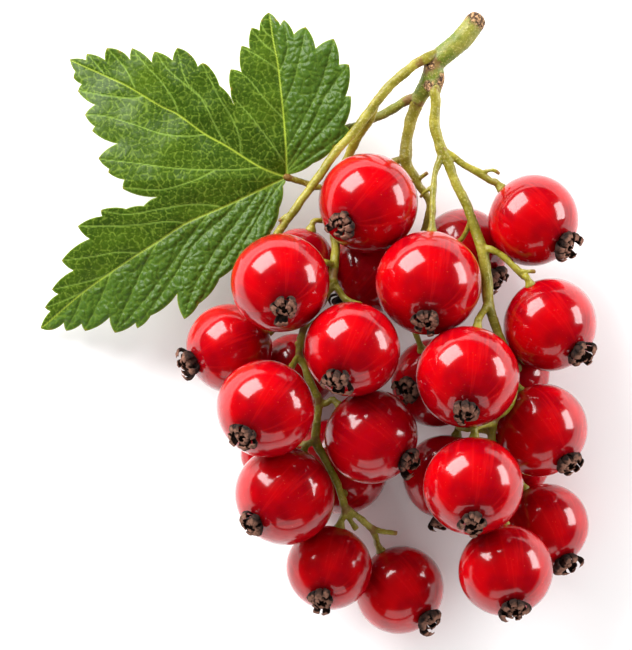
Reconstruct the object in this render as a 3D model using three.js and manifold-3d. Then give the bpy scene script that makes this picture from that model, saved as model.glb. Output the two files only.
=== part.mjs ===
// A cut redcurrant sprig lying on a flat surface: one woody shoot, three hanging
// fruit stalks (strigs) with their berries, and one lobed leaf on its stalk.
// Millimetres, +Z up. The surface is z = 0. +Y runs from the lowest berries
// towards the cut end of the shoot, and the origin is the middle of the base.
import * as THREE from 'three';
import { mergeVertices } from 'three/addons/utils/BufferGeometryUtils.js';
import Module from 'manifold-3d';

const wasm = await Module();
wasm.setup();

// ---------------------------------------------------------------- dimensions
const GAP = 0.3; // clearance kept between neighbouring pieces
const SETTLE = 0.12; // how far a berry's skin flattens where it rests
const BERRY_SIDES = 14; // facets round a berry
const BERRY_RINGS = 10; // facets from pole to pole
const OBLATE = 0.96; // pole to pole length over width
const CALYX_HEIGHT = 1.5; // dried flower at the end of each berry
const CALYX_RADIUS = 1.25;
const CALYX_PETALS = 5;
const FLARE_LENGTH = 0.9; // a fruit stalk widens over this length at its berry
const FLARE_RADIUS = 0.62;
const RING_STEP = 1.7; // distance between a stem's rings
const LEAF_THICKNESS = 0.4;
const LEAF_EDGE = 3.6; // longest triangle edge in the blade
const LEAF_BASE = [-3.4, 16.2]; // where the leaf stalk meets the blade
const LEAF_BASE_HEIGHT = 7.0;
const LEAF_RISE = 0.2; // slope of the blade as it leaves its stalk
const LEAF_DROOP = 0.0126; // how fast it bends down again
const LEAF_FOLD = 0.2; // slope of the blade away from each main rib

// ----------------------------------------------------------------- materials
function material(color, roughness) {
  return new THREE.MeshStandardMaterial({ color, roughness, metalness: 0 });
}

const materials = {
  berry: material(0xb80a14, 0.12),
  calyx: material(0x3a2621, 0.85),
  shoot: material(0x8f9a4c, 0.6),
  strig: material(0xa3a544, 0.5),
  leaf: material(0x3f6b2a, 0.45),
  petiole: material(0xa0a552, 0.5),
};

// ------------------------------------------------------------------- berries
// From the surface up. Each berry has its place seen from above, its radius and
// the direction from its stalk to its calyx. Its height follows from what it
// rests on.
const berries = [
  { id: 28, at: [9.1, -29.4], radius: 4.84, calyx: [0.64, -0.64, 0.43] },
  { id: 18, at: [22.8, -15.7], radius: 2.86, calyx: [0.75, 0.6, 0.1] },
  { id: 13, at: [25.1, -22.4], radius: 4.79, calyx: [0.46, -0.81, 0.37] },
  { id: 15, at: [14.4, -16.9], radius: 4.79, calyx: [-0.08, -0.97, 0.22] },
  { id: 26, at: [2.5, -15.7], radius: 5.28, calyx: [-0.75, -0.6, -0.2] },
  { id: 20, at: [-2.3, -5.2], radius: 4.18, calyx: [-0.3, -0.8, -0.4] },
  { id: 5, at: [5.9, 5.9], radius: 4.73, calyx: [-0.6, -0.74, -0.25] },
  { id: 8, at: [16.0, 7.8], radius: 4.95, calyx: [0.73, -0.52, 0.44] },
  { id: 16, at: [13.0, -6.5], radius: 4.84, calyx: [-0.57, -0.18, 0.8] },
  { id: 17, at: [21.8, -5.6], radius: 3.74, calyx: [0.3, -0.6, -0.6] },
  { id: 25, at: [-5.8, -14.5], radius: 2.64, calyx: [0.2, -0.97, 0.1] },
  { id: 19, at: [-9.7, -2.7], radius: 4.84, calyx: [-0.88, -0.29, 0.37] },
  { id: 3, at: [-1.9, 6.8], radius: 3.74, calyx: [-0.6, -0.3, -0.74] },
  { id: 7, at: [23.8, 11.4], radius: 5.0, calyx: [0.71, -0.49, 0.51] },
  { id: 27, at: [1.3, -26.9], radius: 4.67, calyx: [-0.21, -0.7, 0.69] },
  { id: 9, at: [25.6, -0.1], radius: 5.06, calyx: [0.62, -0.59, 0.51] },
  { id: 11, at: [24.6, -11.7], radius: 5.06, calyx: [0.58, -0.67, 0.46] },
  { id: 1, at: [5.6, 13.3], radius: 5.45, calyx: [-0.5, -0.42, 0.76] },
  { id: 24, at: [-3.6, -18.9], radius: 5.39, calyx: [-0.63, -0.55, 0.54] },
  { id: 23, at: [5.9, -12.4], radius: 5.17, calyx: [0.77, -0.49, 0.41] },
  { id: 6, at: [12.2, 4.5], radius: 5.7, calyx: [-0.03, -0.67, 0.74] },
  { id: 10, at: [16.5, -5.8], radius: 5.55, calyx: [-0.01, -0.64, 0.77] },
  { id: 14, at: [20.7, -27.1], radius: 5.12, calyx: [0.17, -0.8, 0.57] },
  { id: 12, at: [17.1, -17.8], radius: 5.39, calyx: [-0.03, -0.7, 0.71] },
  { id: 2, at: [-4.1, 4.5], radius: 5.33, calyx: [0.09, -0.49, 0.87] },
  { id: 21, at: [3.8, -2.8], radius: 5.12, calyx: [-0.31, -0.64, 0.71] },
  { id: 22, at: [-5.7, -9.3], radius: 5.28, calyx: [-0.41, -0.53, 0.75] },
];

// Lays each berry on the surface or on the highest earlier berry under it.
function settle(list) {
  list.forEach((berry, index) => {
    let height = berry.radius - SETTLE;
    for (const lower of list.slice(0, index)) {
      const across = Math.hypot(berry.at[0] - lower.at[0], berry.at[1] - lower.at[1]);
      const reach = berry.radius + lower.radius + GAP;
      if (across < reach) {
        height = Math.max(height, lower.centre.z + Math.sqrt(reach ** 2 - across ** 2));
      }
    }
    berry.centre = new THREE.Vector3(berry.at[0], berry.at[1], height);
    berry.axis = new THREE.Vector3(...berry.calyx).normalize();
  });
}

settle(berries);
const berryById = new Map(berries.map((berry) => [berry.id, berry]));

// -------------------------------------------------------------------- solids
function toManifold(geometry) {
  const bare = geometry.clone();
  bare.deleteAttribute('normal');
  bare.deleteAttribute('uv');
  const merged = mergeVertices(bare, 1e-5);
  return new wasm.Manifold(new wasm.Mesh({
    numProp: 3,
    vertProperties: new Float32Array(merged.attributes.position.array),
    triVerts: new Uint32Array(merged.index.array),
  }));
}

function toGeometry(solid) {
  const mesh = solid.getMesh();
  const geometry = new THREE.BufferGeometry();
  geometry.setAttribute('position', new THREE.BufferAttribute(mesh.vertProperties, 3));
  geometry.setIndex(new THREE.BufferAttribute(mesh.triVerts, 1));
  geometry.computeVertexNormals();
  return geometry;
}

// Everything above the surface, as a solid to cut resting berries with.
const spaceSize = 200;
const space = new THREE.BoxGeometry(spaceSize, spaceSize, spaceSize);
space.translate(0, 0, spaceSize / 2);
const aboveSurface = toManifold(space);

// Turns a shape made along +Y so that it points along a direction, and moves it.
function place(geometry, direction, origin) {
  const turn = new THREE.Quaternion().setFromUnitVectors(new THREE.Vector3(0, 1, 0), direction);
  geometry.applyQuaternion(turn);
  geometry.translate(origin.x, origin.y, origin.z);
  return geometry;
}

function berryGeometry(berry) {
  const profile = [];
  for (let i = 0; i <= BERRY_RINGS; i += 1) {
    const angle = (i / BERRY_RINGS) * Math.PI;
    const across = i === 0 || i === BERRY_RINGS ? 0 : Math.sin(angle) * berry.radius;
    profile.push(new THREE.Vector2(across, -Math.cos(angle) * berry.radius * OBLATE));
  }
  const geometry = new THREE.LatheGeometry(profile, BERRY_SIDES);
  return place(geometry, berry.axis, berry.centre);
}

function berryMesh(berry) {
  let geometry = berryGeometry(berry);
  if (berry.centre.z < berry.radius) {
    geometry = toGeometry(toManifold(geometry).intersect(aboveSurface));
  }
  const mesh = new THREE.Mesh(geometry, materials.berry);
  mesh.name = `berry_${String(berry.id).padStart(2, '0')}`;
  return mesh;
}

// The dried flower: a short cup with a ragged rim of five petals.
function calyxMesh(berry) {
  const size = berry.radius < 3.5 ? 0.7 : 1;
  const profile = [
    [0, 0],
    [0.55, 0],
    [1, 0.75],
    [0.9, 1],
    [0, 0.7],
  ].map(([across, up]) => new THREE.Vector2(across * CALYX_RADIUS * size, up * CALYX_HEIGHT * size));
  const geometry = new THREE.LatheGeometry(profile, CALYX_PETALS * 2);
  const position = geometry.attributes.position;
  for (let i = 0; i < position.count; i += 1) {
    const angle = Math.atan2(position.getX(i), position.getZ(i));
    const petal = 1 - 0.1 * (1 - Math.cos(angle * CALYX_PETALS));
    position.setX(i, position.getX(i) * petal);
    position.setZ(i, position.getZ(i) * petal);
  }
  const foot = berry.centre.clone().addScaledVector(berry.axis, berry.radius * OBLATE + GAP);
  const mesh = new THREE.Mesh(place(geometry, berry.axis, foot), materials.calyx);
  mesh.name = `calyx_${String(berry.id).padStart(2, '0')}`;
  return mesh;
}

// --------------------------------------------------------------------- stems
// A stem's route is a list of [x, y, z, radius], thickest first.
function stemGeometry(route, sides) {
  const knots = route.map(([x, y, z]) => new THREE.Vector3(x, y, z));
  const curve = new THREE.CatmullRomCurve3(knots, false, 'centripetal');
  const steps = Math.max(3, Math.round(curve.getLength() / RING_STEP));
  const frames = curve.computeFrenetFrames(steps, false);
  const positions = [];
  const indices = [];
  for (let i = 0; i <= steps; i += 1) {
    const u = i / steps;
    const centre = curve.getPointAt(u);
    const along = curve.getUtoTmapping(u) * (route.length - 1);
    const knot = Math.min(Math.floor(along), route.length - 2);
    const radius = THREE.MathUtils.lerp(route[knot][3], route[knot + 1][3], along - knot);
    for (let j = 0; j < sides; j += 1) {
      const angle = (j / sides) * 2 * Math.PI;
      const point = centre.clone();
      point.addScaledVector(frames.normals[i], Math.cos(angle) * radius);
      point.addScaledVector(frames.binormals[i], Math.sin(angle) * radius);
      positions.push(point.x, point.y, point.z);
      if (i < steps) {
        const here = i * sides + j;
        const beside = i * sides + ((j + 1) % sides);
        indices.push(here, beside, here + sides, beside, beside + sides, here + sides);
      }
    }
  }
  const last = steps * sides;
  for (let j = 1; j < sides - 1; j += 1) {
    indices.push(0, j + 1, j, last, last + j, last + j + 1);
  }
  const geometry = new THREE.BufferGeometry();
  geometry.setAttribute('position', new THREE.Float32BufferAttribute(positions, 3));
  geometry.setIndex(indices);
  return geometry;
}

// A fruit stalk: its route, then a flared end that meets its berry at the place
// where a line from the berry's centre along `meets` leaves the skin.
function fruitStalk(route, id, meets) {
  const berry = berryById.get(id);
  const outward = new THREE.Vector3(...meets).normalize();
  const stop = berry.centre.clone().addScaledVector(outward, berry.radius + 0.1);
  const neck = berry.centre.clone().addScaledVector(outward, berry.radius + FLARE_LENGTH);
  const thin = route[route.length - 1][3];
  return [...route, [...neck.toArray(), thin], [...stop.toArray(), FLARE_RADIUS]];
}

const clearance = berries.map((berry) => {
  const ball = new THREE.SphereGeometry(berry.radius + GAP, BERRY_SIDES, BERRY_RINGS);
  ball.translate(berry.centre.x, berry.centre.y, berry.centre.z);
  return toManifold(ball);
});

// Joins the routes of one stem and keeps the clearance round every berry.
function stemMesh(name, surface, routes) {
  let solid = null;
  for (const { route, sides } of routes) {
    const piece = toManifold(stemGeometry(route, sides));
    solid = solid ? solid.add(piece) : piece;
  }
  for (const ball of clearance) {
    solid = solid.subtract(ball);
  }
  const mesh = new THREE.Mesh(toGeometry(solid), surface);
  mesh.name = name;
  return mesh;
}

const thick = (route) => ({ route, sides: 7 });
const thin = (route) => ({ route, sides: 5 });

// The woody shoot, cut at its upper end, with the bare stump of a second leaf
// stalk behind the leaf.
function shoot() {
  const wood = [
    [17.5, 33.4, 9.6, 1.05],
    [16.1, 31.6, 9.9, 1.1],
    [14.4, 30.1, 10.2, 1.05],
    [13.0, 28.8, 10.3, 1.05],
    [12.6, 27.6, 10.2, 0.97],
    [12.1, 26.3, 9.9, 0.95],
    [11.4, 25.2, 9.5, 0.8],
    [10.9, 24.4, 9.2, 0.75],
  ];
  const stump = [
    [11.2, 25.2, 9.3, 0.5],
    [9.8, 24.6, 8.4, 0.5],
    [8.1, 23.6, 7.2, 0.45],
    [6.5, 22.8, 6.5, 0.42],
    [4.0, 21.8, 5.6, 0.38],
    [1.2, 21.4, 5.0, 0.34],
  ];
  return stemMesh('shoot', materials.shoot, [thick(wood), thick(stump)]);
}

// The left strig: a long stalk in front of the leaf, with a branch that runs
// down behind the upper berries and through the left of the bunch.
function strigLeft() {
  const front = [
    [11.3, 28.9, 11.4, 0.52],
    [10.4, 28.3, 11.6, 0.52],
    [8.7, 26.9, 11.8, 0.52],
    [7.0, 25.1, 11.9, 0.52],
    [5.3, 22.8, 12.0, 0.5],
    [4.0, 21.1, 12.2, 0.47],
    [1.9, 18.8, 12.6, 0.47],
    [0.3, 16.4, 13.0, 0.45],
    [-0.6, 15.2, 13.1, 0.44],
    [-2.0, 13.3, 13.2, 0.43],
    [-3.4, 11.3, 13.1, 0.43],
    [-4.6, 9.5, 12.7, 0.42],
    [-5.5, 7.0, 11.9, 0.38],
    [-5.2, 3.7, 11.2, 0.34],
    [-4.6, 0.9, 10.6, 0.32],
  ];
  const bract = [
    [-3.3, 11.9, 13.1, 0.35],
    [-4.3, 11.3, 13.3, 0.12],
  ];
  const branch = [
    [6.6, 24.7, 11.8, 0.4],
    [5.8, 22.6, 10.9, 0.45],
    [5.0, 21.5, 10.1, 0.46],
    [4.1, 20.0, 9.4, 0.47],
    [3.4, 18.5, 8.8, 0.47],
    [2.6, 16.9, 8.0, 0.46],
    [2.2, 15.7, 7.5, 0.45],
    [1.8, 13.6, 7.1, 0.45],
    [1.6, 11.9, 7.5, 0.45],
    [1.8, 10.3, 8.7, 0.46],
    [2.0, 8.5, 10.3, 0.48],
    [1.9, 6.8, 11.6, 0.48],
    [1.7, 5.0, 12.4, 0.5],
    [1.8, 4.4, 12.5, 0.5],
    [1.2, 3.6, 12.7, 0.42],
    [0.5, 2.3, 12.8, 0.38],
    [-0.9, 0.4, 12.9, 0.35],
    [-1.5, -0.6, 12.9, 0.42],
    [-1.8, -1.8, 12.9, 0.32],
    [-2.0, -3.5, 13.0, 0.42],
    [-1.3, -4.8, 13.1, 0.42],
    [-1.0, -6.0, 13.2, 0.42],
    [-0.4, -7.4, 13.2, 0.46],
    [0.1, -8.3, 13.1, 0.46],
    [0.1, -9.4, 12.8, 0.4],
    [-0.1, -11.2, 12.5, 0.4],
    [-0.2, -12.9, 12.3, 0.48],
    [0.6, -14.5, 12.2, 0.4],
    [1.2, -15.6, 12.2, 0.4],
    [1.8, -16.8, 12.1, 0.38],
    [2.3, -17.9, 12.0, 0.38],
    [2.8, -19.4, 11.8, 0.4],
    [3.0, -20.2, 11.6, 0.42],
    [4.0, -20.9, 10.8, 0.36],
    [5.0, -21.7, 9.9, 0.36],
    [6.0, -22.6, 8.8, 0.4],
  ];
  const stumps = [
    [[6.0, -22.6, 8.8, 0.32], [7.2, -22.9, 8.9, 0.26], [8.8, -23.1, 9.0, 0.24]],
    [[3.0, -20.4, 11.4, 0.3], [3.6, -21.6, 10.6, 0.28], [4.3, -22.6, 10.0, 0.3]],
  ];
  const stalks = [
    fruitStalk([[-4.7, 1.2, 10.6, 0.32], [-4.3, -0.2, 10.0, 0.3]], 19, [0.88, 0.38, -0.25]),
    fruitStalk([[1.9, 6.4, 11.8, 0.36], [0.8, 6.8, 13.0, 0.34]], 2, [0.62, 0.33, -0.7]),
    fruitStalk([[1.6, 11.3, 7.8, 0.34], [0.6, 11.4, 8.4, 0.3]], 3, [0.31, 0.94, 0.1]),
    fruitStalk(
      [[1.8, 4.5, 12.5, 0.36], [2.4, 3.6, 12.9, 0.34], [3.1, 2.7, 13.2, 0.34]],
      21,
      [0.2, 0.75, -0.62],
    ),
    fruitStalk([[-1.6, -0.9, 12.9, 0.34], [-2.0, -1.6, 11.5, 0.3]], 20, [0.1, 0.72, 0.7]),
    fruitStalk([[-2.0, -3.4, 13.0, 0.36], [-2.6, -4.3, 13.6, 0.34]], 22, [0.4, 0.62, -0.68]),
    fruitStalk([[0.1, -8.2, 13.1, 0.34], [0.8, -8.8, 13.0, 0.32]], 23, [-0.68, 0.66, -0.25]),
    fruitStalk([[-0.2, -12.7, 12.3, 0.34], [-0.9, -13.2, 12.6, 0.34]], 24, [0.36, 0.86, -0.35]),
    fruitStalk(
      [[-0.2, -12.9, 12.2, 0.3], [-1.4, -13.2, 10.2, 0.28], [-2.7, -13.2, 7.2, 0.26]],
      25,
      [0.75, 0.3, 0.6],
    ),
    fruitStalk([[2.9, -19.9, 11.6, 0.34], [2.8, -19.3, 10.9, 0.32]], 26, [0.05, -0.55, 0.83]),
    fruitStalk([[3.0, -20.1, 11.6, 0.34], [2.9, -21.0, 11.4, 0.32]], 27, [0.24, 0.93, 0.12]),
    fruitStalk([[5.9, -22.5, 8.9, 0.36], [6.4, -23.4, 8.0, 0.34]], 28, [-0.42, 0.86, 0.2]),
  ];
  return stemMesh('strig_left', materials.strig, [
    thick(front),
    thick(branch),
    thin(bract),
    ...stumps.map(thin),
    ...stalks.map(thin),
  ]);
}

// The middle strig runs from the end of the shoot down between the berries.
function strigMiddle() {
  const main = [
    [10.8, 23.9, 8.9, 0.66],
    [10.3, 22.4, 8.7, 0.62],
    [9.9, 20.5, 8.6, 0.58],
    [9.7, 18.4, 8.6, 0.68],
    [10.0, 17.3, 8.5, 0.55],
    [10.8, 16.1, 8.5, 0.5],
    [11.2, 15.3, 8.5, 0.42],
    [11.8, 14.4, 8.4, 0.4],
    [12.4, 13.1, 8.4, 0.4],
    [11.8, 10.3, 8.4, 0.38],
    [11.0, 6.9, 8.4, 0.38],
    [10.7, 3.4, 8.4, 0.36],
    [10.4, 0.8, 8.4, 0.34],
  ];
  const stump = [[10.9, 15.8, 8.5, 0.26], [11.5, 16.2, 8.9, 0.22], [12.2, 16.7, 9.2, 0.24]];
  const stalks = [
    fruitStalk([[9.8, 18.2, 8.4, 0.36], [9.6, 16.9, 7.6, 0.34]], 1, [0.56, 0.4, -0.72]),
    fruitStalk([[11.5, 9.3, 8.4, 0.34], [10.8, 8.4, 8.3, 0.32]], 5, [0.62, 0.2, 0.72]),
    fruitStalk([[10.4, 1.0, 8.4, 0.34], [10.6, -0.4, 8.6, 0.32]], 16, [-0.3, 0.75, 0.6]),
  ];
  return stemMesh('strig_middle', materials.strig, [thick(main), thin(stump), ...stalks.map(thin)]);
}

// The right strig passes in front of the middle one and carries the right of
// the bunch.
function strigRight() {
  const main = [
    [12.9, 25.6, 11.3, 0.55],
    [13.0, 24.4, 11.3, 0.55],
    [12.9, 21.9, 11.3, 0.55],
    [13.3, 20.4, 11.4, 0.56],
    [13.7, 19.1, 11.5, 0.6],
    [14.4, 17.7, 11.8, 0.52],
    [15.2, 15.5, 12.0, 0.5],
    [16.2, 13.6, 12.2, 0.5],
    [16.9, 11.8, 12.4, 0.5],
    [17.5, 10.0, 12.6, 0.52],
    [18.1, 8.3, 12.9, 0.6],
    [18.6, 5.2, 13.2, 0.58],
    [18.8, 2.4, 13.5, 0.58],
    [19.2, 0.8, 13.7, 0.5],
    [20.0, -1.3, 13.9, 0.46],
    [21.1, -4.0, 14.4, 0.44],
    [21.6, -6.8, 14.8, 0.44],
    [21.0, -9.0, 15.2, 0.44],
    [19.6, -10.3, 15.1, 0.46],
    [19.2, -11.7, 14.4, 0.44],
    [19.2, -12.9, 13.2, 0.44],
    [19.7, -15.0, 11.2, 0.4],
    [20.6, -17.2, 10.4, 0.4],
  ];
  const toSix = [
    [13.7, 19.1, 11.5, 0.4],
    [13.5, 18.1, 11.8, 0.34],
    [12.9, 16.4, 12.4, 0.32],
    [12.8, 15.0, 13.0, 0.32],
    [12.7, 13.6, 13.6, 0.32],
    [12.7, 12.3, 14.0, 0.36],
    [12.6, 11.3, 14.3, 0.32],
  ];
  const toSeven = [
    [13.7, 19.1, 11.5, 0.42],
    [15.0, 18.4, 11.5, 0.38],
    [16.3, 17.4, 11.4, 0.38],
    [17.9, 16.6, 11.2, 0.42],
    [19.1, 15.7, 10.9, 0.34],
  ];
  const toNine = [
    [18.2, 8.3, 12.9, 0.42],
    [19.1, 8.2, 13.3, 0.38],
    [20.3, 7.5, 13.4, 0.36],
    [21.3, 6.6, 13.3, 0.36],
    [22.1, 5.8, 13.1, 0.38],
    [22.7, 5.2, 12.9, 0.34],
  ];
  const stumps = [
    [[12.8, 15.1, 13.0, 0.26], [11.9, 14.6, 12.9, 0.2], [11.3, 13.9, 12.7, 0.2]],
    [[17.9, 16.6, 11.2, 0.28], [18.9, 16.9, 11.4, 0.22], [19.5, 16.9, 11.5, 0.24], [20.1, 16.5, 11.4, 0.2]],
    [[22.1, 5.8, 13.1, 0.28], [23.0, 5.8, 13.4, 0.2], [24.0, 5.8, 13.5, 0.22]],
  ];
  const stalks = [
    fruitStalk(toSix, 6, [0.06, 0.96, -0.12]),
    fruitStalk(toSeven, 7, [-0.7, 0.7, 0]),
    fruitStalk(toNine, 9, [-0.42, 0.84, 0.3]),
    fruitStalk(
      [[16.9, 11.4, 12.4, 0.3], [16.2, 9.8, 11.6, 0.28], [15.4, 9.0, 11.0, 0.28]],
      8,
      [-0.2, 0.2, 0.95],
    ),
    fruitStalk([[18.8, 2.4, 13.5, 0.42], [18.1, 1.2, 15.0, 0.38]], 10, [0.18, 0.95, -0.2]),
    fruitStalk([[21.0, -3.9, 14.3, 0.32], [21.6, -4.6, 12.0, 0.3]], 17, [0.05, 0.2, 0.97]),
    fruitStalk([[21.5, -6.6, 14.7, 0.34], [21.9, -6.7, 14.0, 0.32]], 11, [-0.46, 0.86, 0.2]),
    fruitStalk([[19.5, -10.9, 15.0, 0.4], [18.2, -11.1, 16.4, 0.36]], 12, [0.02, 0.98, -0.15]),
    fruitStalk(
      [[19.2, -11.8, 14.3, 0.36], [17.0, -11.6, 11.0, 0.32], [15.8, -11.5, 8.0, 0.32]],
      15,
      [0.2, 0.95, 0.22],
    ),
    fruitStalk([[20.5, -17.0, 10.4, 0.34], [21.6, -17.6, 9.0, 0.32]], 13, [-0.48, 0.86, 0.15]),
    fruitStalk([[20.4, -17.0, 10.5, 0.34], [20.6, -19.6, 12.6, 0.32]], 14, [-0.02, 0.98, -0.12]),
    fruitStalk([[20.6, -17.1, 10.4, 0.3], [21.8, -16.4, 7.6, 0.26]], 18, [-0.2, 0.05, 0.97]),
  ];
  return stemMesh('strig_right', materials.strig, [
    thick(main),
    ...stumps.map(thin),
    ...stalks.map(thin),
  ]);
}

// ---------------------------------------------------------------------- leaf
// The blade's outline from its stalk round the upper lobe, the left lobe and
// the lower lobe, with a point at each tooth and each notch.
const upperLobe = [
  [-3.1, 16.5], [-0.5, 17.7], [1.9, 19.5], [3.6, 21.3], [3.0, 21.9],
  [3.7, 25.1], [3.1, 25.1], [3.5, 28.6], [2.4, 28.6], [1.8, 31.5],
  [-0.2, 30.4], [-1.3, 32.8], [-2.6, 32.0], [-3.7, 33.6], [-4.1, 33.0],
  [-4.5, 33.6], [-5.4, 34.4], [-6.2, 33.6], [-6.4, 32.4], [-7.3, 32.7],
  [-7.5, 30.4], [-8.4, 30.7], [-8.4, 27.8], [-9.6, 28.1], [-9.6, 25.9],
];
const leftLobe = [
  [-9.2, 24.2], [-10.8, 26.3], [-12.2, 28.6], [-12.7, 28.8], [-13.2, 28.4],
  [-14.1, 29.8], [-15.5, 30.5], [-16.0, 29.1], [-18.0, 30.1], [-18.3, 28.9],
  [-20.5, 30.5], [-20.7, 29.2], [-21.8, 30.2], [-23.3, 30.5], [-23.5, 29.2],
  [-25.5, 29.9], [-25.6, 29.2], [-27.4, 29.3], [-26.8, 27.9], [-27.0, 27.2],
  [-26.1, 26.5], [-26.5, 25.7], [-24.6, 24.2], [-25.7, 23.1], [-24.6, 21.8],
  [-24.9, 21.3], [-22.1, 19.9], [-24.2, 18.3], [-23.0, 17.1], [-23.1, 16.7],
  [-21.3, 15.9], [-21.5, 14.9],
];
const lowerLobe = [
  [-17.7, 14.0], [-19.2, 13.0], [-21.1, 12.7], [-23.9, 12.6], [-23.8, 11.9],
  [-26.5, 10.8], [-25.2, 9.4], [-28.3, 7.0], [-27.0, 5.9], [-29.4, 3.8],
  [-28.7, 3.3], [-30.2, 1.8], [-29.6, 1.4], [-30.7, -0.5], [-29.5, -0.7],
  [-28.1, 0.1], [-27.8, -0.8], [-26.1, 0.0], [-25.7, -0.8], [-23.0, 0.7],
  [-22.4, -1.0], [-20.1, 0.1], [-19.9, -0.5], [-18.4, 0.9], [-15.5, 3.3],
  [-14.7, 0.5], [-13.1, 2.2], [-10.8, 5.0], [-7.8, 8.2], [-5.9, 9.2],
  [-5.1, 10.2], [-4.2, 12.8], [-3.8, 15.2],
];
const lobeTips = [[-5.4, 34.4], [-27.4, 29.3], [-30.7, -0.5]];

// Splits every edge longer than the limit at its middle until none is left, so
// that the triangles stay joined along whole edges.
function splitLongEdges(positions, triangles, limit) {
  let current = triangles;
  let split = true;
  while (split) {
    split = false;
    const middles = new Map();
    const middle = (a, b) => {
      const key = a < b ? `${a}_${b}` : `${b}_${a}`;
      if (!middles.has(key)) {
        const length = positions[a].distanceTo(positions[b]);
        if (length > limit) {
          positions.push(positions[a].clone().lerp(positions[b], 0.5));
          middles.set(key, positions.length - 1);
          split = true;
        } else {
          middles.set(key, null);
        }
      }
      return middles.get(key);
    };
    const next = [];
    for (const [a, b, c] of current) {
      const ab = middle(a, b);
      const bc = middle(b, c);
      const ca = middle(c, a);
      const cuts = [ab, bc, ca].filter((value) => value !== null).length;
      if (cuts === 0) {
        next.push([a, b, c]);
      } else if (cuts === 3) {
        next.push([a, ab, ca], [ab, b, bc], [ca, bc, c], [ab, bc, ca]);
      } else {
        // Turn the triangle so that its first edge is cut and its last is not.
        let [p, q, r] = [a, b, c];
        let [pq, qr, rp] = [ab, bc, ca];
        while (pq === null || rp !== null) {
          [p, q, r] = [q, r, p];
          [pq, qr, rp] = [qr, rp, pq];
        }
        next.push([pq, q, qr === null ? r : qr]);
        if (qr !== null) {
          next.push([pq, qr, r]);
        }
        next.push([p, pq, r]);
      }
    }
    current = next;
  }
  return current;
}

function distanceToLine(x, y, from, to) {
  const along = [to[0] - from[0], to[1] - from[1]];
  const offset = [x - from[0], y - from[1]];
  const share = (offset[0] * along[0] + offset[1] * along[1]) / Math.hypot(...along) ** 2;
  const t = THREE.MathUtils.clamp(share, 0, 1);
  return Math.hypot(offset[0] - t * along[0], offset[1] - t * along[1]);
}

// Height of the blade: it rises from its stalk, droops to the lobe tips and is
// folded up a little on both sides of each main rib.
function leafHeight(x, y) {
  const away = Math.hypot(x - LEAF_BASE[0], y - LEAF_BASE[1]);
  const ribs = lobeTips.map((tip) => distanceToLine(x, y, LEAF_BASE, tip));
  const fold = LEAF_FOLD * Math.min(...ribs);
  return LEAF_BASE_HEIGHT + LEAF_RISE * away - LEAF_DROOP * away ** 2 + fold;
}

function leafMesh() {
  const outline = [LEAF_BASE, ...upperLobe, ...leftLobe, ...lowerLobe];
  const corners = outline.map(([x, y]) => new THREE.Vector2(x, y));
  const flat = THREE.ShapeUtils.triangulateShape(corners, []);
  const positions = corners.map(({ x, y }) => new THREE.Vector3(x, y, 0));
  const triangles = splitLongEdges(positions, flat, LEAF_EDGE);
  const count = positions.length;
  const vertices = [];
  for (const lift of [0, LEAF_THICKNESS]) {
    for (const { x, y } of positions) {
      vertices.push(x, y, leafHeight(x, y) + lift);
    }
  }
  // An edge that only one triangle uses is on the rim, and gets a wall.
  const used = new Set(triangles.flatMap(([a, b, c]) => [`${a}_${b}`, `${b}_${c}`, `${c}_${a}`]));
  const indices = [];
  for (const [a, b, c] of triangles) {
    indices.push(a, c, b, a + count, b + count, c + count);
    for (const [from, to] of [[a, b], [b, c], [c, a]]) {
      if (!used.has(`${to}_${from}`)) {
        indices.push(from, to, to + count, from, to + count, from + count);
      }
    }
  }
  const geometry = new THREE.BufferGeometry();
  geometry.setAttribute('position', new THREE.Float32BufferAttribute(vertices, 3));
  geometry.setIndex(indices);
  geometry.computeVertexNormals();
  const mesh = new THREE.Mesh(geometry, materials.leaf);
  mesh.name = 'leaf_blade';
  return mesh;
}

// The leaf stalk, from the blade behind the upper berry to the middle strig.
function petiole() {
  const route = [
    [8.7, 18.0, 8.2, 0.38],
    [7.6, 17.6, 7.4, 0.34],
    [6.3, 17.0, 6.6, 0.32],
    [3.0, 15.7, 6.1, 0.3],
    [0.1, 15.1, 6.4, 0.32],
    [-1.4, 15.6, 6.8, 0.33],
    [-2.8, 16.0, 7.1, 0.34],
  ];
  return stemMesh('petiole', materials.petiole, [thick(route)]);
}

// ------------------------------------------------------------------ assembly
const sprig = new THREE.Group();
for (const berry of berries.toSorted((a, b) => a.id - b.id)) {
  sprig.add(berryMesh(berry), calyxMesh(berry));
}
sprig.add(shoot(), strigLeft(), strigMiddle(), strigRight(), leafMesh(), petiole());

// Moves the origin to the middle of the base.
const box = new THREE.Box3().setFromObject(sprig);
const middle = box.getCenter(new THREE.Vector3());
sprig.position.set(-middle.x, -middle.y, -box.min.z);

export default sprig;
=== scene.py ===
"""A cut redcurrant sprig lying on a pale surface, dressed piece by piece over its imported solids."""
import math

import bpy
import numpy as np
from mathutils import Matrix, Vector, kdtree, noise
from mathutils.geometry import delaunay_2d_cdt


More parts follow.
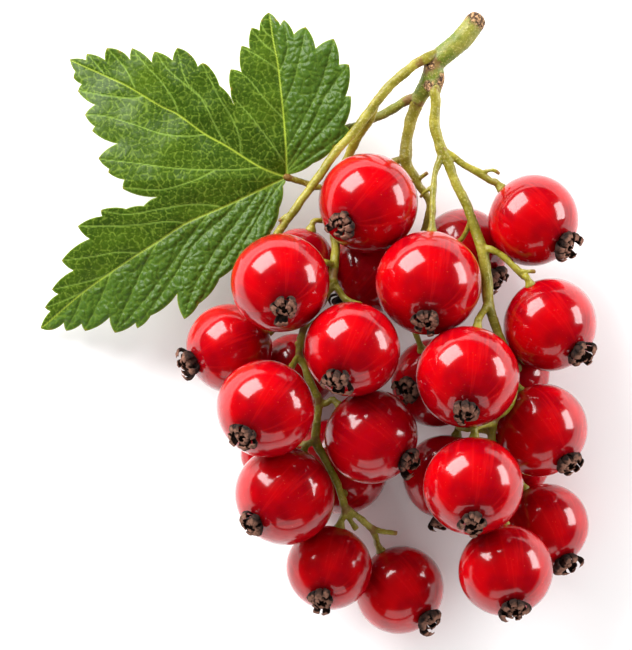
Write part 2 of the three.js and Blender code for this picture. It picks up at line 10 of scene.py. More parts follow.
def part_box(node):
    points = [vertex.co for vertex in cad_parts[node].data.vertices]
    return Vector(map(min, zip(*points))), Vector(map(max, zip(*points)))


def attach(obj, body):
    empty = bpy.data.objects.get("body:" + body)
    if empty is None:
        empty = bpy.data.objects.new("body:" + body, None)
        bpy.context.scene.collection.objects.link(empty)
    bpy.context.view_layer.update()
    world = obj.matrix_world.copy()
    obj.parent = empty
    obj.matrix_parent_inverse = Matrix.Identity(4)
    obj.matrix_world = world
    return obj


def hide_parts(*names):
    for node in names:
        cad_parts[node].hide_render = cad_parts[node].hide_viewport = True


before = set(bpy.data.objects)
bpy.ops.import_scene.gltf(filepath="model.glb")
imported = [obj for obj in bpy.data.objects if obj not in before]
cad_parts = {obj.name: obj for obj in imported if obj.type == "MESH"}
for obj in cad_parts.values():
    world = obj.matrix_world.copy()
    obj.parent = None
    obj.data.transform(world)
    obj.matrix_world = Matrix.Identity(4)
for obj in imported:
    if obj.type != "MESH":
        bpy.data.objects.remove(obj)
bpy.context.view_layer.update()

# ---------------------------------------------------------------- studio
# A pale matt table, a long lens looking straight down, and soft light: a
# large box at the far left, a low one on the right, a faint one at the near
# edge, and a pale room whose walls give no gloss.
MM = 0.001
middle_height = 0.014
lens = 900
view_height = 0.0715
camera_distance = view_height * lens / 36
view_centre = Vector((-0.0001, -0.00015, middle_height))

camera_data = bpy.data.cameras.new("studio_camera")
camera_data.lens = lens
camera_data.sensor_width = 36
camera_data.clip_start = 0.01
camera_data.clip_end = 10
camera = bpy.data.objects.new("studio_camera", camera_data)
camera.location = view_centre + Vector((0, 0, camera_distance))
bpy.context.collection.objects.link(camera)
bpy.context.scene.camera = camera


def soft_box(name, direction, distance, size, power, color=(1, 1, 1)):
    """A rectangular lamp that faces the middle of the sprig."""
    data = bpy.data.lights.new(name, "AREA")
    data.shape = "RECTANGLE"
    data.size, data.size_y = size
    data.energy = power
    data.color = color
    lamp = bpy.data.objects.new(name, data)
    outward = Vector(direction).normalized()
    lamp.location = view_centre + outward * distance
    lamp.rotation_mode = "QUATERNION"
    lamp.rotation_quaternion = outward.to_track_quat("Z", "Y")
    bpy.context.collection.objects.link(lamp)


soft_box("left_soft_box", (-0.55, 0.69, 0.47), 0.45, (0.36, 0.3), 5.2)
soft_box("right_soft_box", (0.95, 0.27, 0.21), 0.45, (0.28, 0.17), 2.1)
soft_box("near_soft_box", (0.05, -0.95, 0.26), 0.5, (0.5, 0.2), 0.6)

world = bpy.data.worlds.new("pale_room")
world.use_nodes = True
world.node_tree.nodes["Background"].inputs["Color"].default_value = (1, 1, 1, 1)
world.node_tree.nodes["Background"].inputs["Strength"].default_value = 0.8
world.cycles_visibility.glossy = False
bpy.context.scene.world = world
bpy.context.scene.view_settings.view_transform = "Standard"


class Value:
    """A node socket that can be used in sums."""

    def __init__(self, tree, socket):
        self.tree = tree
        self.socket = socket

    def math(self, operation, first, second):
        return self.tree.node("ShaderNodeMath", {"operation": operation}, {0: first, 1: second})

    def __add__(self, other):
        return self.math("ADD", self, other)

    def __radd__(self, other):
        return self.math("ADD", other, self)

    def __sub__(self, other):
        return self.math("SUBTRACT", self, other)

    def __rsub__(self, other):
        return self.math("SUBTRACT", other, self)

    def __mul__(self, other):
        return self.math("MULTIPLY", self, other)

    def __rmul__(self, other):
        return self.math("MULTIPLY", other, self)

    def __pow__(self, other):
        return self.math("POWER", self, other)


class Tree:
    """A node tree that grows as its maths is written."""

    def __init__(self, tree):
        self.tree = tree

    def feed(self, socket, value):
        if isinstance(value, Value):
            self.tree.links.new(value.socket, socket)
        elif isinstance(value, tuple) and len(value) == 3 and socket.type == "RGBA":
            socket.default_value = (*value, 1)
        else:
            socket.default_value = value

    def node(self, kind, settings=None, inputs=None, output=0):
        """Adds a node: its settings, then the value or link of each socket."""
        node = self.tree.nodes.new(kind)
        for name, setting in (settings or {}).items():
            if name == "stops":
                while len(node.color_ramp.elements) < len(setting):
                    node.color_ramp.elements.new(1)
                for element, (place, color) in zip(node.color_ramp.elements, setting):
                    element.position = place
                    element.color = (*color, 1)
            else:
                setattr(node, name, setting)
        for name, value in (inputs or {}).items():
            self.feed(node.inputs[name], value)
        return Value(self, node.outputs[output]) if node.outputs else None

    def vector(self, operation, first, second=(0, 0, 0)):
        return self.node("ShaderNodeVectorMath", {"operation": operation}, {0: first, 1: second})


class Paint(Tree):
    """One material."""

    def __init__(self, name):
        self.material = bpy.data.materials.new(name)
        self.material.use_nodes = True
        super().__init__(self.material.node_tree)
        self.tree.nodes.clear()

    def attribute(self, name, output="Fac"):
        return self.node("ShaderNodeAttribute", {"attribute_name": name}, output=output)

    def place(self):
        return self.node("ShaderNodeTexCoord", output="Object")

    def noise(self, scale, detail=2, roughness=0.5, vector=None):
        inputs = {"Scale": scale, "Detail": detail, "Roughness": roughness}
        inputs["Vector"] = vector or self.place()
        return self.node("ShaderNodeTexNoise", inputs=inputs, output="Fac")

    def step(self, value, low, high):
        """0 at low and 1 at high, with a soft slope between."""
        settings = {"interpolation_type": "SMOOTHSTEP"}
        return self.node("ShaderNodeMapRange", settings, {"Value": value, "From Min": low, "From Max": high})

    def mix(self, factor, first, second):
        return self.node("ShaderNodeMix", {"data_type": "RGBA"}, {0: factor, 6: first, 7: second}, output=2)

    def bump(self, height, distance, strength=1.0):
        inputs = {"Height": height, "Distance": distance, "Strength": strength}
        return self.node("ShaderNodeBump", inputs=inputs)

    def finish(self, inputs):
        shader = self.node("ShaderNodeBsdfPrincipled", inputs=inputs)
        self.node("ShaderNodeOutputMaterial", inputs={"Surface": shader})
        return self.material


table_paint = Paint("table")
table_material = table_paint.finish(
    {"Base Color": (0.93, 0.93, 0.93), "Roughness": 0.9, "Specular IOR Level": 0.1}
)
table_mesh = bpy.data.meshes.new("table")
half = 1.5
table_corners = [(-half, -half, 0), (half, -half, 0), (half, half, 0), (-half, half, 0)]
table_mesh.from_pydata(table_corners, [], [(0, 1, 2, 3)])
table = bpy.data.objects.new("table", table_mesh)
table.data.materials.append(table_material)
bpy.context.collection.objects.link(table)

# ---------------------------------------------------------------- shoot
# The end of a year-old currant shoot, cut off: green bark, corky at the cut
# and at the ring where the strigs spring, with the stump of the second leaf
# stalk behind. All grown in one piece.
lower_tip = (-30.7, -0.5)
upper_tip = (-5.4, 34.4)
leaf_low, leaf_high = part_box("leaf_blade")
shift = np.array((leaf_low.x / MM - lower_tip[0], leaf_high.y / MM - upper_tip[1], 0))


class Shape(Tree):
    """A Geometry Nodes tree with named sizes, used as a modifier and applied."""

    def __init__(self, name, sizes):
        super().__init__(bpy.data.node_groups.new(name, "GeometryNodeTree"))
        face = self.tree.interface
        face.new_socket("Geometry", in_out="INPUT", socket_type="NodeSocketGeometry")
        self.sizes = {
            size: face.new_socket(size, in_out="INPUT", socket_type="NodeSocket" + kind).identifier
            for size, kind in sizes.items()
        }
        face.new_socket("Geometry", in_out="OUTPUT", socket_type="NodeSocketGeometry")
        self.given = self.tree.nodes.new("NodeGroupInput")

    def size(self, name):
        return Value(self, self.given.outputs[name])

    def random(self, inputs):
        return self.node("FunctionNodeRandomValue", {"data_type": "FLOAT"}, inputs, output=1)

    def math_of(self, operation, first, second):
        return self.node("ShaderNodeMath", {"operation": operation}, {0: first, 1: second})

    def join(self, parts):
        joined = self.tree.nodes.new("GeometryNodeJoinGeometry")
        for part in parts:
            self.tree.links.new(part.socket, joined.inputs[0])
        return Value(self, joined.outputs[0])

    def finish(self, geometry):
        real = self.node("GeometryNodeRealizeInstances", inputs={0: geometry})
        painted = self.node("GeometryNodeSetMaterial", inputs={0: real, "Material": self.size("Material")})
        end = self.tree.nodes.new("NodeGroupOutput")
        self.tree.links.new(painted.socket, end.inputs[0])

    def apply(self, mesh, values, extra=None):
        """Runs the tree on a mesh with these sizes and returns the plain mesh it makes."""
        holder = bpy.data.objects.new("holder", mesh)
        bpy.context.collection.objects.link(holder)
        modifier = holder.modifiers.new("shape", "NODES")
        modifier.node_group = self.tree
        for name, value in values.items():
            modifier[self.sizes[name]] = value
        if extra:
            extra(holder)
        graph = bpy.context.evaluated_depsgraph_get()
        made = bpy.data.meshes.new_from_object(holder.evaluated_get(graph))
        bpy.data.objects.remove(holder)
        return made


stem_shape = Shape("stem_skin", {"Sides": "Int", "Step": "Float", "Material": "Material"})
stem_line = stem_shape.node("GeometryNodeMeshToCurve", inputs={0: stem_shape.size("Geometry")})
stem_line = stem_shape.node("GeometryNodeCurveSplineType", {"spline_type": "CATMULL_ROM"}, {0: stem_line})
stem_line = stem_shape.node(
    "GeometryNodeResampleCurve", {"mode": "LENGTH"}, {0: stem_line, "Length": stem_shape.size("Step")}
)
stem_round = stem_shape.node(
    "GeometryNodeCurvePrimitiveCircle", inputs={"Resolution": stem_shape.size("Sides"), "Radius": 1.0}
)
stem_width = stem_shape.node("GeometryNodeInputNamedAttribute", {"data_type": "FLOAT"}, {"Name": "width"})
stem_inputs = {"Curve": stem_line, "Profile Curve": stem_round, "Scale": stem_width, "Fill Caps": True}
stem_shape.finish(stem_shape.node("GeometryNodeCurveToMesh", inputs=stem_inputs))


def coordinates(mesh):
    flat = np.empty(len(mesh.vertices) * 3)
    mesh.vertices.foreach_get("co", flat)
    return flat.reshape(-1, 3)


def place_vertices(mesh, places):
    mesh.vertices.foreach_set("co", np.asarray(places, float).ravel())
    mesh.update()


def set_attribute(mesh, name, values):
    """One number for each vertex, which the material reads by name."""
    layer = mesh.attributes.get(name) or mesh.attributes.new(name, "FLOAT", "POINT")
    layer.data.foreach_set("value", np.asarray(values, np.float32))


def rumple(mesh, amount, size, seed):
    """Pushes a skin in and out by soft noise, in millimetres."""
    places = coordinates(mesh)
    normals = np.empty(len(mesh.vertices) * 3)
    mesh.vertices.foreach_get("normal", normals)
    offset = Vector((seed * 17.3, seed * 5.1, seed * 9.7))
    push = np.array([noise.noise(Vector(p) / size + offset) for p in places])
    place_vertices(mesh, places + normals.reshape(-1, 3) * (push * amount)[:, None])


def nearness(places, marks):
    """1 at the middle of each mark, falling to 0 at its radius; a mark is x, y, z, radius."""
    result = np.zeros(len(places))
    for x, y, z, radius in marks:
        away = np.linalg.norm(places - (x, y, z), axis=1)
        result = np.maximum(result, np.clip(1.4 - 1.4 * away / radius, 0, 1))
    return result


def add_piece(name, mesh, node):
    """Sets a finished millimetre mesh in its place, hangs it on the root body and hides the solid it stands
    for.
    """
    mesh.name = name
    place_vertices(mesh, (coordinates(mesh) + shift) * MM)
    mesh.shade_smooth()
    piece = bpy.data.objects.new(name, mesh)
    bpy.context.collection.objects.link(piece)
    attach(piece, "root")
    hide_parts(node)
    return piece


def grow(name, node, routes, material, scars, corks=(), voxel=0.11, relax=6):
    """One stem: all its routes merged into a single skin that is relaxed at the forks."""
    points, edges, widths = [], [], []
    for route in routes:
        edges += [(len(points) + i, len(points) + i + 1) for i in range(len(route) - 1)]
        points += [point[:3] for point in route]
        widths += [point[3] * 1.1 for point in route]
    line = bpy.data.meshes.new(name + "_line")
    line.from_pydata(points, edges, [])
    set_attribute(line, "width", widths)

    def skin(holder):
        remesh = holder.modifiers.new("skin", "REMESH")
        remesh.mode = "VOXEL"
        remesh.voxel_size = voxel
        soften = holder.modifiers.new("soften", "SMOOTH")
        soften.factor = 0.5
        soften.iterations = relax

    mesh = stem_shape.apply(line, {"Sides": 14, "Step": 0.22, "Material": material}, skin)
    if not mesh.materials:
        mesh.materials.append(material)
    rumple(mesh, 0.09, 1.3, len(name))
    rumple(mesh, 0.035, 0.3, len(node) + 3)
    places = coordinates(mesh)
    set_attribute(mesh, "scar", nearness(places, scars))
    set_attribute(mesh, "cork", nearness(places, corks))
    return add_piece(name, mesh, node)


def stem_paint(name, light, green, deep_blotch_and_shade, brown, roughness):
    """Waxy speckled skin of a green stem: light, mid, deep and scarred colours. The deep colour makes random
    dark blotches and is also painted shade on the stems low in the bunch.
    """
    paint = Paint(name)
    # Painted shade: below 12.5 mm the stems are mixed towards the deep colour, most by 6 mm, as if shaded under
    # the berries.
    height = paint.node("ShaderNodeSeparateXYZ", inputs={0: paint.place()}, output="Z")
    low = paint.step(height, 0.0125, 0.006)
    mottle = paint.step(paint.noise(420, 3, 0.6), 0.35, 0.65)
    grain = paint.noise(4200, 3, 0.65)
    speck = paint.step(grain, 0.54, 0.66)
    color = paint.mix(mottle, green, light)
    # Painted shade on the low stems.
    color = paint.mix(low * 0.55, color, deep_blotch_and_shade)
    color = paint.mix(speck * 0.6, color, (0.42, 0.36, 0.11))
    color = paint.mix(paint.step(paint.noise(2600, 2), 0.58, 0.68) * 0.5, color, deep_blotch_and_shade)
    rough_mark = paint.step(paint.attribute("scar") + paint.noise(2200, 3) - 0.5, 0.3, 0.75)
    color = paint.mix(rough_mark * 0.75, color, brown)
    cork = paint.step(paint.attribute("cork") + paint.noise(1500, 3) * 0.6 - 0.3, 0.25, 0.6)
    crack = paint.step(paint.noise(3000, 4, 0.7), 0.44, 0.56)
    color = paint.mix(cork, color, paint.mix(crack, (0.045, 0.017, 0.006), (0.42, 0.24, 0.11)))
    bumps = grain * 0.4 + paint.noise(1100, 2) * 0.6 + cork * crack
    normal = paint.bump(bumps, 0.00013, 1.0)
    return paint.finish({
        "Base Color": color,
        "Roughness": roughness + cork * 0.35 + rough_mark * 0.15,
        "Normal": normal,
        "Subsurface Weight": 0.12,
        "Subsurface Radius": (0.5, 0.6, 0.15),
        "Subsurface Scale": 0.001,
        "Specular IOR Level": 0.35,
    })


bark = stem_paint(
    "shoot_bark", (0.22, 0.21, 0.025), (0.085, 0.125, 0.002), (0.12, 0.11, 0.012), (0.16, 0.065, 0.02), 0.42
)
wood = [
    (17.5, 33.4, 9.6, 1.05),
    (16.1, 31.6, 9.9, 1.1),
    (14.4, 30.1, 10.2, 1.05),
    (13.0, 28.8, 10.3, 1.05),
    (12.6, 27.6, 10.2, 0.97),
    (12.1, 26.3, 9.9, 0.95),
    (11.4, 25.2, 9.5, 0.8),
    (10.9, 24.4, 9.2, 0.75),
]
stump = [
    (11.2, 25.2, 9.3, 0.5),
    (9.8, 24.6, 8.4, 0.5),
    (8.1, 23.6, 7.2, 0.45),
    (6.5, 22.8, 6.5, 0.42),
    (4.0, 21.8, 5.6, 0.38),
    (1.2, 21.4, 5.0, 0.34),
]
tip = [(18.1, 34.0, 9.5, 0.35), (17.9, 33.8, 9.5, 0.85), (17.5, 33.4, 9.6, 1.0)]
collar = [
    (12.8, 28.4, 10.6, 0.9), (13.0, 27.2, 10.7, 0.95), (12.9, 26.2, 10.9, 0.8), (12.9, 25.2, 11.2, 0.55),
]
shoot_scars = [
    (12.4, 28.6, 10.9, 1.9), (13.5, 26.5, 10.4, 1.8), (10.2, 24.6, 9.0, 1.3), (11.2, 24.2, 9.4, 1.2),
]
shoot_corks = [
    (17.9, 33.9, 9.6, 2.3), (13.5, 26.8, 10.9, 1.35), (12.5, 26.2, 11.1, 1.15), (12.4, 28.4, 11.3, 0.8),
]
grow("shoot_bark", "shoot", [tip, wood, stump, collar], bark, shoot_scars, shoot_corks, relax=5)

# ---------------------------------------------------------------- strigs
# Three strigs and the leaf's own stalk: slim fleshy green stems that grow
# out of the shoot, with a knuckle at every fruit stalk and stubs where fruit
# fell. Each fruit stalk flares where it grips its berry.
OBLATE = 0.96
berry_numbers = sorted(int(name[-2:]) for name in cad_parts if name.startswith("berry_"))
berries = {}
for number in berry_numbers:
    low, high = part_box(f"berry_{number:02d}")
    calyx_low, calyx_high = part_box(f"calyx_{number:02d}")
    middle = (low + high) / 2 / MM
    axis = np.array(((calyx_low + calyx_high) / 2 / MM - middle).normalized())
    across = np.array(high - low)[:2] / 2 / MM / np.sqrt(1 - (1 - OBLATE**2) * axis[:2] ** 2)
    radius = across.mean() * 1.035
    berries[number] = (np.array(middle) - shift, radius, axis)


def fruit_stalk(route, number, meets, flare=0.6):
    """Ends a route in a flared foot on a berry, where a line along meets leaves its skin."""
    middle, radius, axis = berries[number]
    outward = np.array(meets) / np.linalg.norm(meets)
    along = outward.dot(axis)
    skin = radius / math.sqrt(1 - along**2 + (along / OBLATE) ** 2)
    thin = route[-1][3]
    feet = ((1.05, thin), (0.6, thin + 0.03), (0.25, flare * 0.8), (0.0, flare), (-0.2, flare * 0.9))
    return list(route) + [(*(middle + outward * (skin + height)), width) for height, width in feet]


strig_green = stem_paint(
    "strig_green", (0.27, 0.235, 0.022), (0.14, 0.125, 0.002), (0.17, 0.115, 0.008), (0.15, 0.055, 0.01), 0.38
)

# The left strig.
front = [
    (13.3, 29.9, 10.4, 0.5),
    (12.4, 29.5, 11.0, 0.55),
    (11.3, 28.9, 11.4, 0.52),
    (10.4, 28.3, 11.6, 0.52),
    (8.7, 26.9, 11.8, 0.52),
    (7.0, 25.1, 11.9, 0.52),
    (5.3, 22.8, 12.0, 0.5),
    (4.0, 21.1, 12.2, 0.47),
    (1.9, 18.8, 12.6, 0.47),
    (0.3, 16.4, 13.0, 0.45),
    (-0.6, 15.2, 13.1, 0.44),
    (-2.0, 13.3, 13.2, 0.43),
    (-3.4, 11.3, 13.1, 0.43),
    (-4.6, 9.5, 12.7, 0.42),
    (-5.5, 7.0, 11.9, 0.38),
    (-5.2, 3.7, 11.2, 0.34),
    (-4.6, 0.9, 10.6, 0.32),
]
bract = [
    (-3.3, 11.9, 13.1, 0.35),
    (-4.3, 11.3, 13.3, 0.12),
]
branch = [
    (6.6, 24.7, 11.8, 0.4),
    (5.8, 22.6, 10.9, 0.45),
    (5.0, 21.5, 10.1, 0.46),
    (4.1, 20.0, 9.4, 0.47),
    (3.4, 18.5, 8.8, 0.47),
    (2.6, 16.9, 8.0, 0.46),
    (2.2, 15.7, 7.5, 0.45),
    (1.8, 13.6, 7.1, 0.45),
    (1.6, 11.9, 7.5, 0.45),
    (1.8, 10.3, 8.7, 0.46),
    (2.0, 8.5, 10.3, 0.48),
    (1.9, 6.8, 11.6, 0.48),
    (1.7, 5.0, 12.4, 0.5),
    (1.8, 4.4, 12.5, 0.5),
    (1.2, 3.6, 12.7, 0.42),
    (0.5, 2.3, 12.8, 0.38),
    (-0.9, 0.4, 12.9, 0.35),
    (-1.5, -0.6, 12.9, 0.42),
    (-1.8, -1.8, 12.9, 0.32),
    (-2.0, -3.5, 13.0, 0.42),
    (-1.3, -4.8, 13.1, 0.42),
    (-1.0, -6.0, 13.2, 0.42),
    (-0.4, -7.4, 13.2, 0.46),
    (0.1, -8.3, 13.1, 0.46),
    (0.1, -9.4, 12.8, 0.4),
    (-0.1, -11.2, 12.5, 0.4),
    (-0.2, -12.9, 12.3, 0.48),
    (0.6, -14.5, 12.2, 0.4),
    (1.2, -15.6, 12.2, 0.4),
    (1.8, -16.8, 12.1, 0.38),
    (2.3, -17.9, 12.0, 0.38),
    (2.8, -19.4, 11.8, 0.4),
    (3.0, -20.2, 11.6, 0.42),
    (4.0, -20.9, 10.8, 0.36),
    (5.0, -21.7, 9.9, 0.36),
    (6.0, -22.6, 8.8, 0.4),
]
stumps = [
    [(6.0, -22.6, 8.8, 0.32), (7.2, -22.9, 8.9, 0.26), (8.8, -23.1, 9.0, 0.24)],
    [(3.0, -20.4, 11.4, 0.3), (3.6, -21.6, 10.6, 0.28), (4.3, -22.6, 10.0, 0.3)],
]
stalks = [
    fruit_stalk([(-4.7, 1.2, 10.6, 0.32), (-4.3, -0.2, 10.0, 0.3)], 19, (0.88, 0.38, -0.25)),
    fruit_stalk([(1.9, 6.4, 11.8, 0.36), (0.8, 6.8, 13.0, 0.34)], 2, (0.62, 0.33, -0.7)),
    fruit_stalk([(1.6, 11.3, 7.8, 0.34), (0.6, 11.4, 8.4, 0.3)], 3, (0.31, 0.94, 0.1)),
    fruit_stalk(
        [(1.8, 4.5, 12.5, 0.36), (2.4, 3.6, 12.9, 0.34), (3.1, 2.7, 13.2, 0.34)],
        21, (0.2, 0.75, -0.62),
    ),
    fruit_stalk([(-1.6, -0.9, 12.9, 0.34), (-2.0, -1.6, 11.5, 0.3)], 20, (0.1, 0.72, 0.7)),
    fruit_stalk([(-2.0, -3.4, 13.0, 0.36), (-2.6, -4.3, 13.6, 0.34)], 22, (0.4, 0.62, -0.68)),
    fruit_stalk([(0.1, -8.2, 13.1, 0.34), (0.8, -8.8, 13.0, 0.32)], 23, (-0.68, 0.66, -0.25)),
    fruit_stalk([(-0.2, -12.7, 12.3, 0.34), (-0.9, -13.2, 12.6, 0.34)], 24, (0.36, 0.86, -0.35)),
    fruit_stalk(
        [(-0.2, -12.9, 12.2, 0.3), (-1.4, -13.2, 10.2, 0.28), (-2.7, -13.2, 7.2, 0.26)],
        25, (0.75, 0.3, 0.6),
    ),
    fruit_stalk([(2.9, -19.9, 11.6, 0.34), (2.8, -19.3, 10.9, 0.32)], 26, (0.05, -0.55, 0.83)),
    fruit_stalk([(3.0, -20.1, 11.6, 0.34), (2.9, -21.0, 11.4, 0.32)], 27, (0.24, 0.93, 0.12)),
    fruit_stalk([(5.9, -22.5, 8.9, 0.36), (6.4, -23.4, 8.0, 0.34)], 28, (-0.42, 0.86, 0.2)),
]
left_scars = [
    (2.0, 5.4, 12.4, 1.2), (-1.6, -0.6, 12.9, 1.0), (-1.9, -3.4, 13.0, 0.9), (0.0, -8.4, 13.1, 1.0),
    (-0.2, -12.8, 12.3, 1.0), (3.0, -20.3, 11.6, 1.1), (6.0, -22.6, 8.8, 1.0), (11.2, 28.7, 11.4, 1.1),
    (-4.3, 11.3, 13.3, 0.7), (8.8, -23.1, 9.0, 0.8), (6.7, 24.7, 11.9, 0.8),
]
left_routes = [front, bract, branch, *stumps, *stalks]
grow("left_strig", "strig_left", left_routes, strig_green, left_scars)

# The middle strig.
main = [
    (11.4, 25.2, 9.4, 0.7),
    (10.8, 23.9, 8.9, 0.66),
    (10.3, 22.4, 8.7, 0.62),
    (9.9, 20.5, 8.6, 0.58),
    (9.7, 18.4, 8.6, 0.68),
    (10.0, 17.3, 8.5, 0.55),
    (10.8, 16.1, 8.5, 0.5),
    (11.2, 15.3, 8.5, 0.42),
    (11.8, 14.4, 8.4, 0.4),
    (12.4, 13.1, 8.4, 0.4),
    (11.8, 10.3, 8.4, 0.38),
    (11.0, 6.9, 8.4, 0.38),
    (10.7, 3.4, 8.4, 0.36),
    (10.4, 0.8, 8.4, 0.34),
]
stump = [(10.9, 15.8, 8.5, 0.26), (11.5, 16.2, 8.9, 0.22), (12.2, 16.7, 9.2, 0.24)]
stalks = [
    fruit_stalk([(9.8, 18.2, 8.4, 0.36), (9.6, 16.9, 7.6, 0.34)], 1, (0.56, 0.4, -0.72)),
    fruit_stalk([(11.5, 9.3, 8.4, 0.34), (10.8, 8.4, 8.3, 0.32)], 5, (0.62, 0.2, 0.72)),
    fruit_stalk([(10.4, 1.0, 8.4, 0.34), (10.6, -0.4, 8.6, 0.32)], 16, (-0.3, 0.75, 0.6)),
]
middle_scars = [(9.7, 18.3, 8.6, 0.9), (12.2, 16.7, 9.2, 0.7), (10.9, 24.0, 9.0, 1.0)]
grow("middle_strig", "strig_middle", [main, stump, *stalks], strig_green, middle_scars)

# The right strig.
main = [
    (12.9, 26.6, 11.0, 0.6),
    (12.9, 25.6, 11.3, 0.55),
    (13.0, 24.4, 11.3, 0.55),
    (12.9, 21.9, 11.3, 0.55),
    (13.3, 20.4, 11.4, 0.56),
    (13.7, 19.1, 11.5, 0.6),
    (14.4, 17.7, 11.8, 0.52),
    (15.2, 15.5, 12.0, 0.5),
    (16.2, 13.6, 12.2, 0.5),
    (16.9, 11.8, 12.4, 0.5),
    (17.5, 10.0, 12.6, 0.52),
    (18.1, 8.3, 12.9, 0.6),
    (18.6, 5.2, 13.2, 0.58),
    (18.8, 2.4, 13.5, 0.58),
    (19.2, 0.8, 13.7, 0.5),
    (20.0, -1.3, 13.9, 0.46),
    (21.1, -4.0, 14.4, 0.44),
    (21.6, -6.8, 14.8, 0.44),
    (21.0, -9.0, 15.2, 0.44),
    (19.6, -10.3, 15.1, 0.46),
    (19.2, -11.7, 14.4, 0.44),
    (19.2, -12.9, 13.2, 0.44),
    (19.7, -15.0, 11.2, 0.4),
    (20.6, -17.2, 10.4, 0.4),
]
toSix = [
    (13.7, 19.1, 11.5, 0.4),
    (13.5, 18.1, 11.8, 0.34),
    (12.9, 16.4, 12.4, 0.32),
    (12.8, 15.0, 13.0, 0.32),
    (12.7, 13.6, 13.6, 0.32),
    (12.7, 12.3, 14.0, 0.36),
    (12.6, 11.3, 14.3, 0.32),
]
toSeven = [
    (13.7, 19.1, 11.5, 0.42),
    (15.0, 18.4, 11.5, 0.38),
    (16.3, 17.4, 11.4, 0.38),
    (17.9, 16.6, 11.2, 0.42),
    (19.1, 15.7, 10.9, 0.34),
]
toNine = [
    (18.2, 8.3, 12.9, 0.42),
    (19.1, 8.2, 13.3, 0.38),
    (20.3, 7.5, 13.4, 0.36),
    (21.3, 6.6, 13.3, 0.36),
    (22.1, 5.8, 13.1, 0.38),
    (22.7, 5.2, 12.9, 0.34),
]
stumps = [
    [(12.8, 15.1, 13.0, 0.26), (11.9, 14.6, 12.9, 0.2), (11.3, 13.9, 12.7, 0.2)],
    [(17.9, 16.6, 11.2, 0.28), (18.9, 16.9, 11.4, 0.22), (19.5, 16.9, 11.5, 0.24), (20.1, 16.5, 11.4, 0.2)],
    [(22.1, 5.8, 13.1, 0.28), (23.0, 5.8, 13.4, 0.2), (24.0, 5.8, 13.5, 0.22)],
]
stalks = [
    fruit_stalk(toSix, 6, (0.06, 0.96, -0.12)),
    fruit_stalk(toSeven, 7, (-0.7, 0.7, 0)),
    fruit_stalk(toNine, 9, (-0.42, 0.84, 0.3)),
    fruit_stalk(
        [(16.9, 11.4, 12.4, 0.3), (16.2, 9.8, 11.6, 0.28), (15.4, 9.0, 11.0, 0.28)],
        8, (-0.2, 0.2, 0.95),
    ),
    fruit_stalk([(18.8, 2.4, 13.5, 0.42), (18.1, 1.2, 15.0, 0.38)], 10, (0.18, 0.95, -0.2)),
    fruit_stalk([(21.0, -3.9, 14.3, 0.32), (21.6, -4.6, 12.0, 0.3)], 17, (0.05, 0.2, 0.97)),
    fruit_stalk([(21.5, -6.6, 14.7, 0.34), (21.9, -6.7, 14.0, 0.32)], 11, (-0.46, 0.86, 0.2)),
    fruit_stalk([(19.5, -10.9, 15.0, 0.4), (18.2, -11.1, 16.4, 0.36)], 12, (0.02, 0.98, -0.15)),
    fruit_stalk(
        [(19.2, -11.8, 14.3, 0.36), (17.0, -11.6, 11.0, 0.32), (15.8, -11.5, 8.0, 0.32)],
        15, (0.2, 0.95, 0.22),
    ),
    fruit_stalk([(20.5, -17.0, 10.4, 0.34), (21.6, -17.6, 9.0, 0.32)], 13, (-0.48, 0.86, 0.15)),
    fruit_stalk([(20.4, -17.0, 10.5, 0.34), (20.6, -19.6, 12.6, 0.32)], 14, (-0.02, 0.98, -0.12)),
    fruit_stalk([(20.6, -17.1, 10.4, 0.3), (21.8, -16.4, 7.6, 0.26)], 18, (-0.2, 0.05, 0.97)),
]
right_scars = [
    (13.0, 25.8, 11.3, 0.9), (13.7, 19.1, 11.6, 0.8), (18.1, 8.3, 13.0, 0.8), (20.1, 16.5, 11.4, 0.9),
    (24.0, 5.8, 13.5, 0.9), (11.3, 13.9, 12.7, 0.7), (19.6, -10.4, 15.1, 0.9), (12.7, 12.2, 14.0, 0.6),
]
routes = [main, *stumps, *stalks]
grow("right_strig", "strig_right", routes, strig_green, right_scars)

# The leaf stalk.
leaf_stalk = [
    (9.7, 18.3, 8.6, 0.45),
    (8.7, 18.0, 8.2, 0.38),
    (7.6, 17.6, 7.4, 0.34),
    (6.3, 17.0, 6.6, 0.32),
    (3.0, 15.7, 6.1, 0.3),
    (0.1, 15.1, 6.4, 0.32),
    (-1.4, 15.6, 6.8, 0.33),
    (-2.8, 16.0, 7.1, 0.34),
]
leaf_stalk += [(-3.3, 16.2, 7.3, 0.42), (-3.8, 16.4, 7.35, 0.26)]
grow("leaf_stalk", "petiole", [leaf_stalk], strig_green, [(-3.3, 16.2, 7.3, 0.9)])

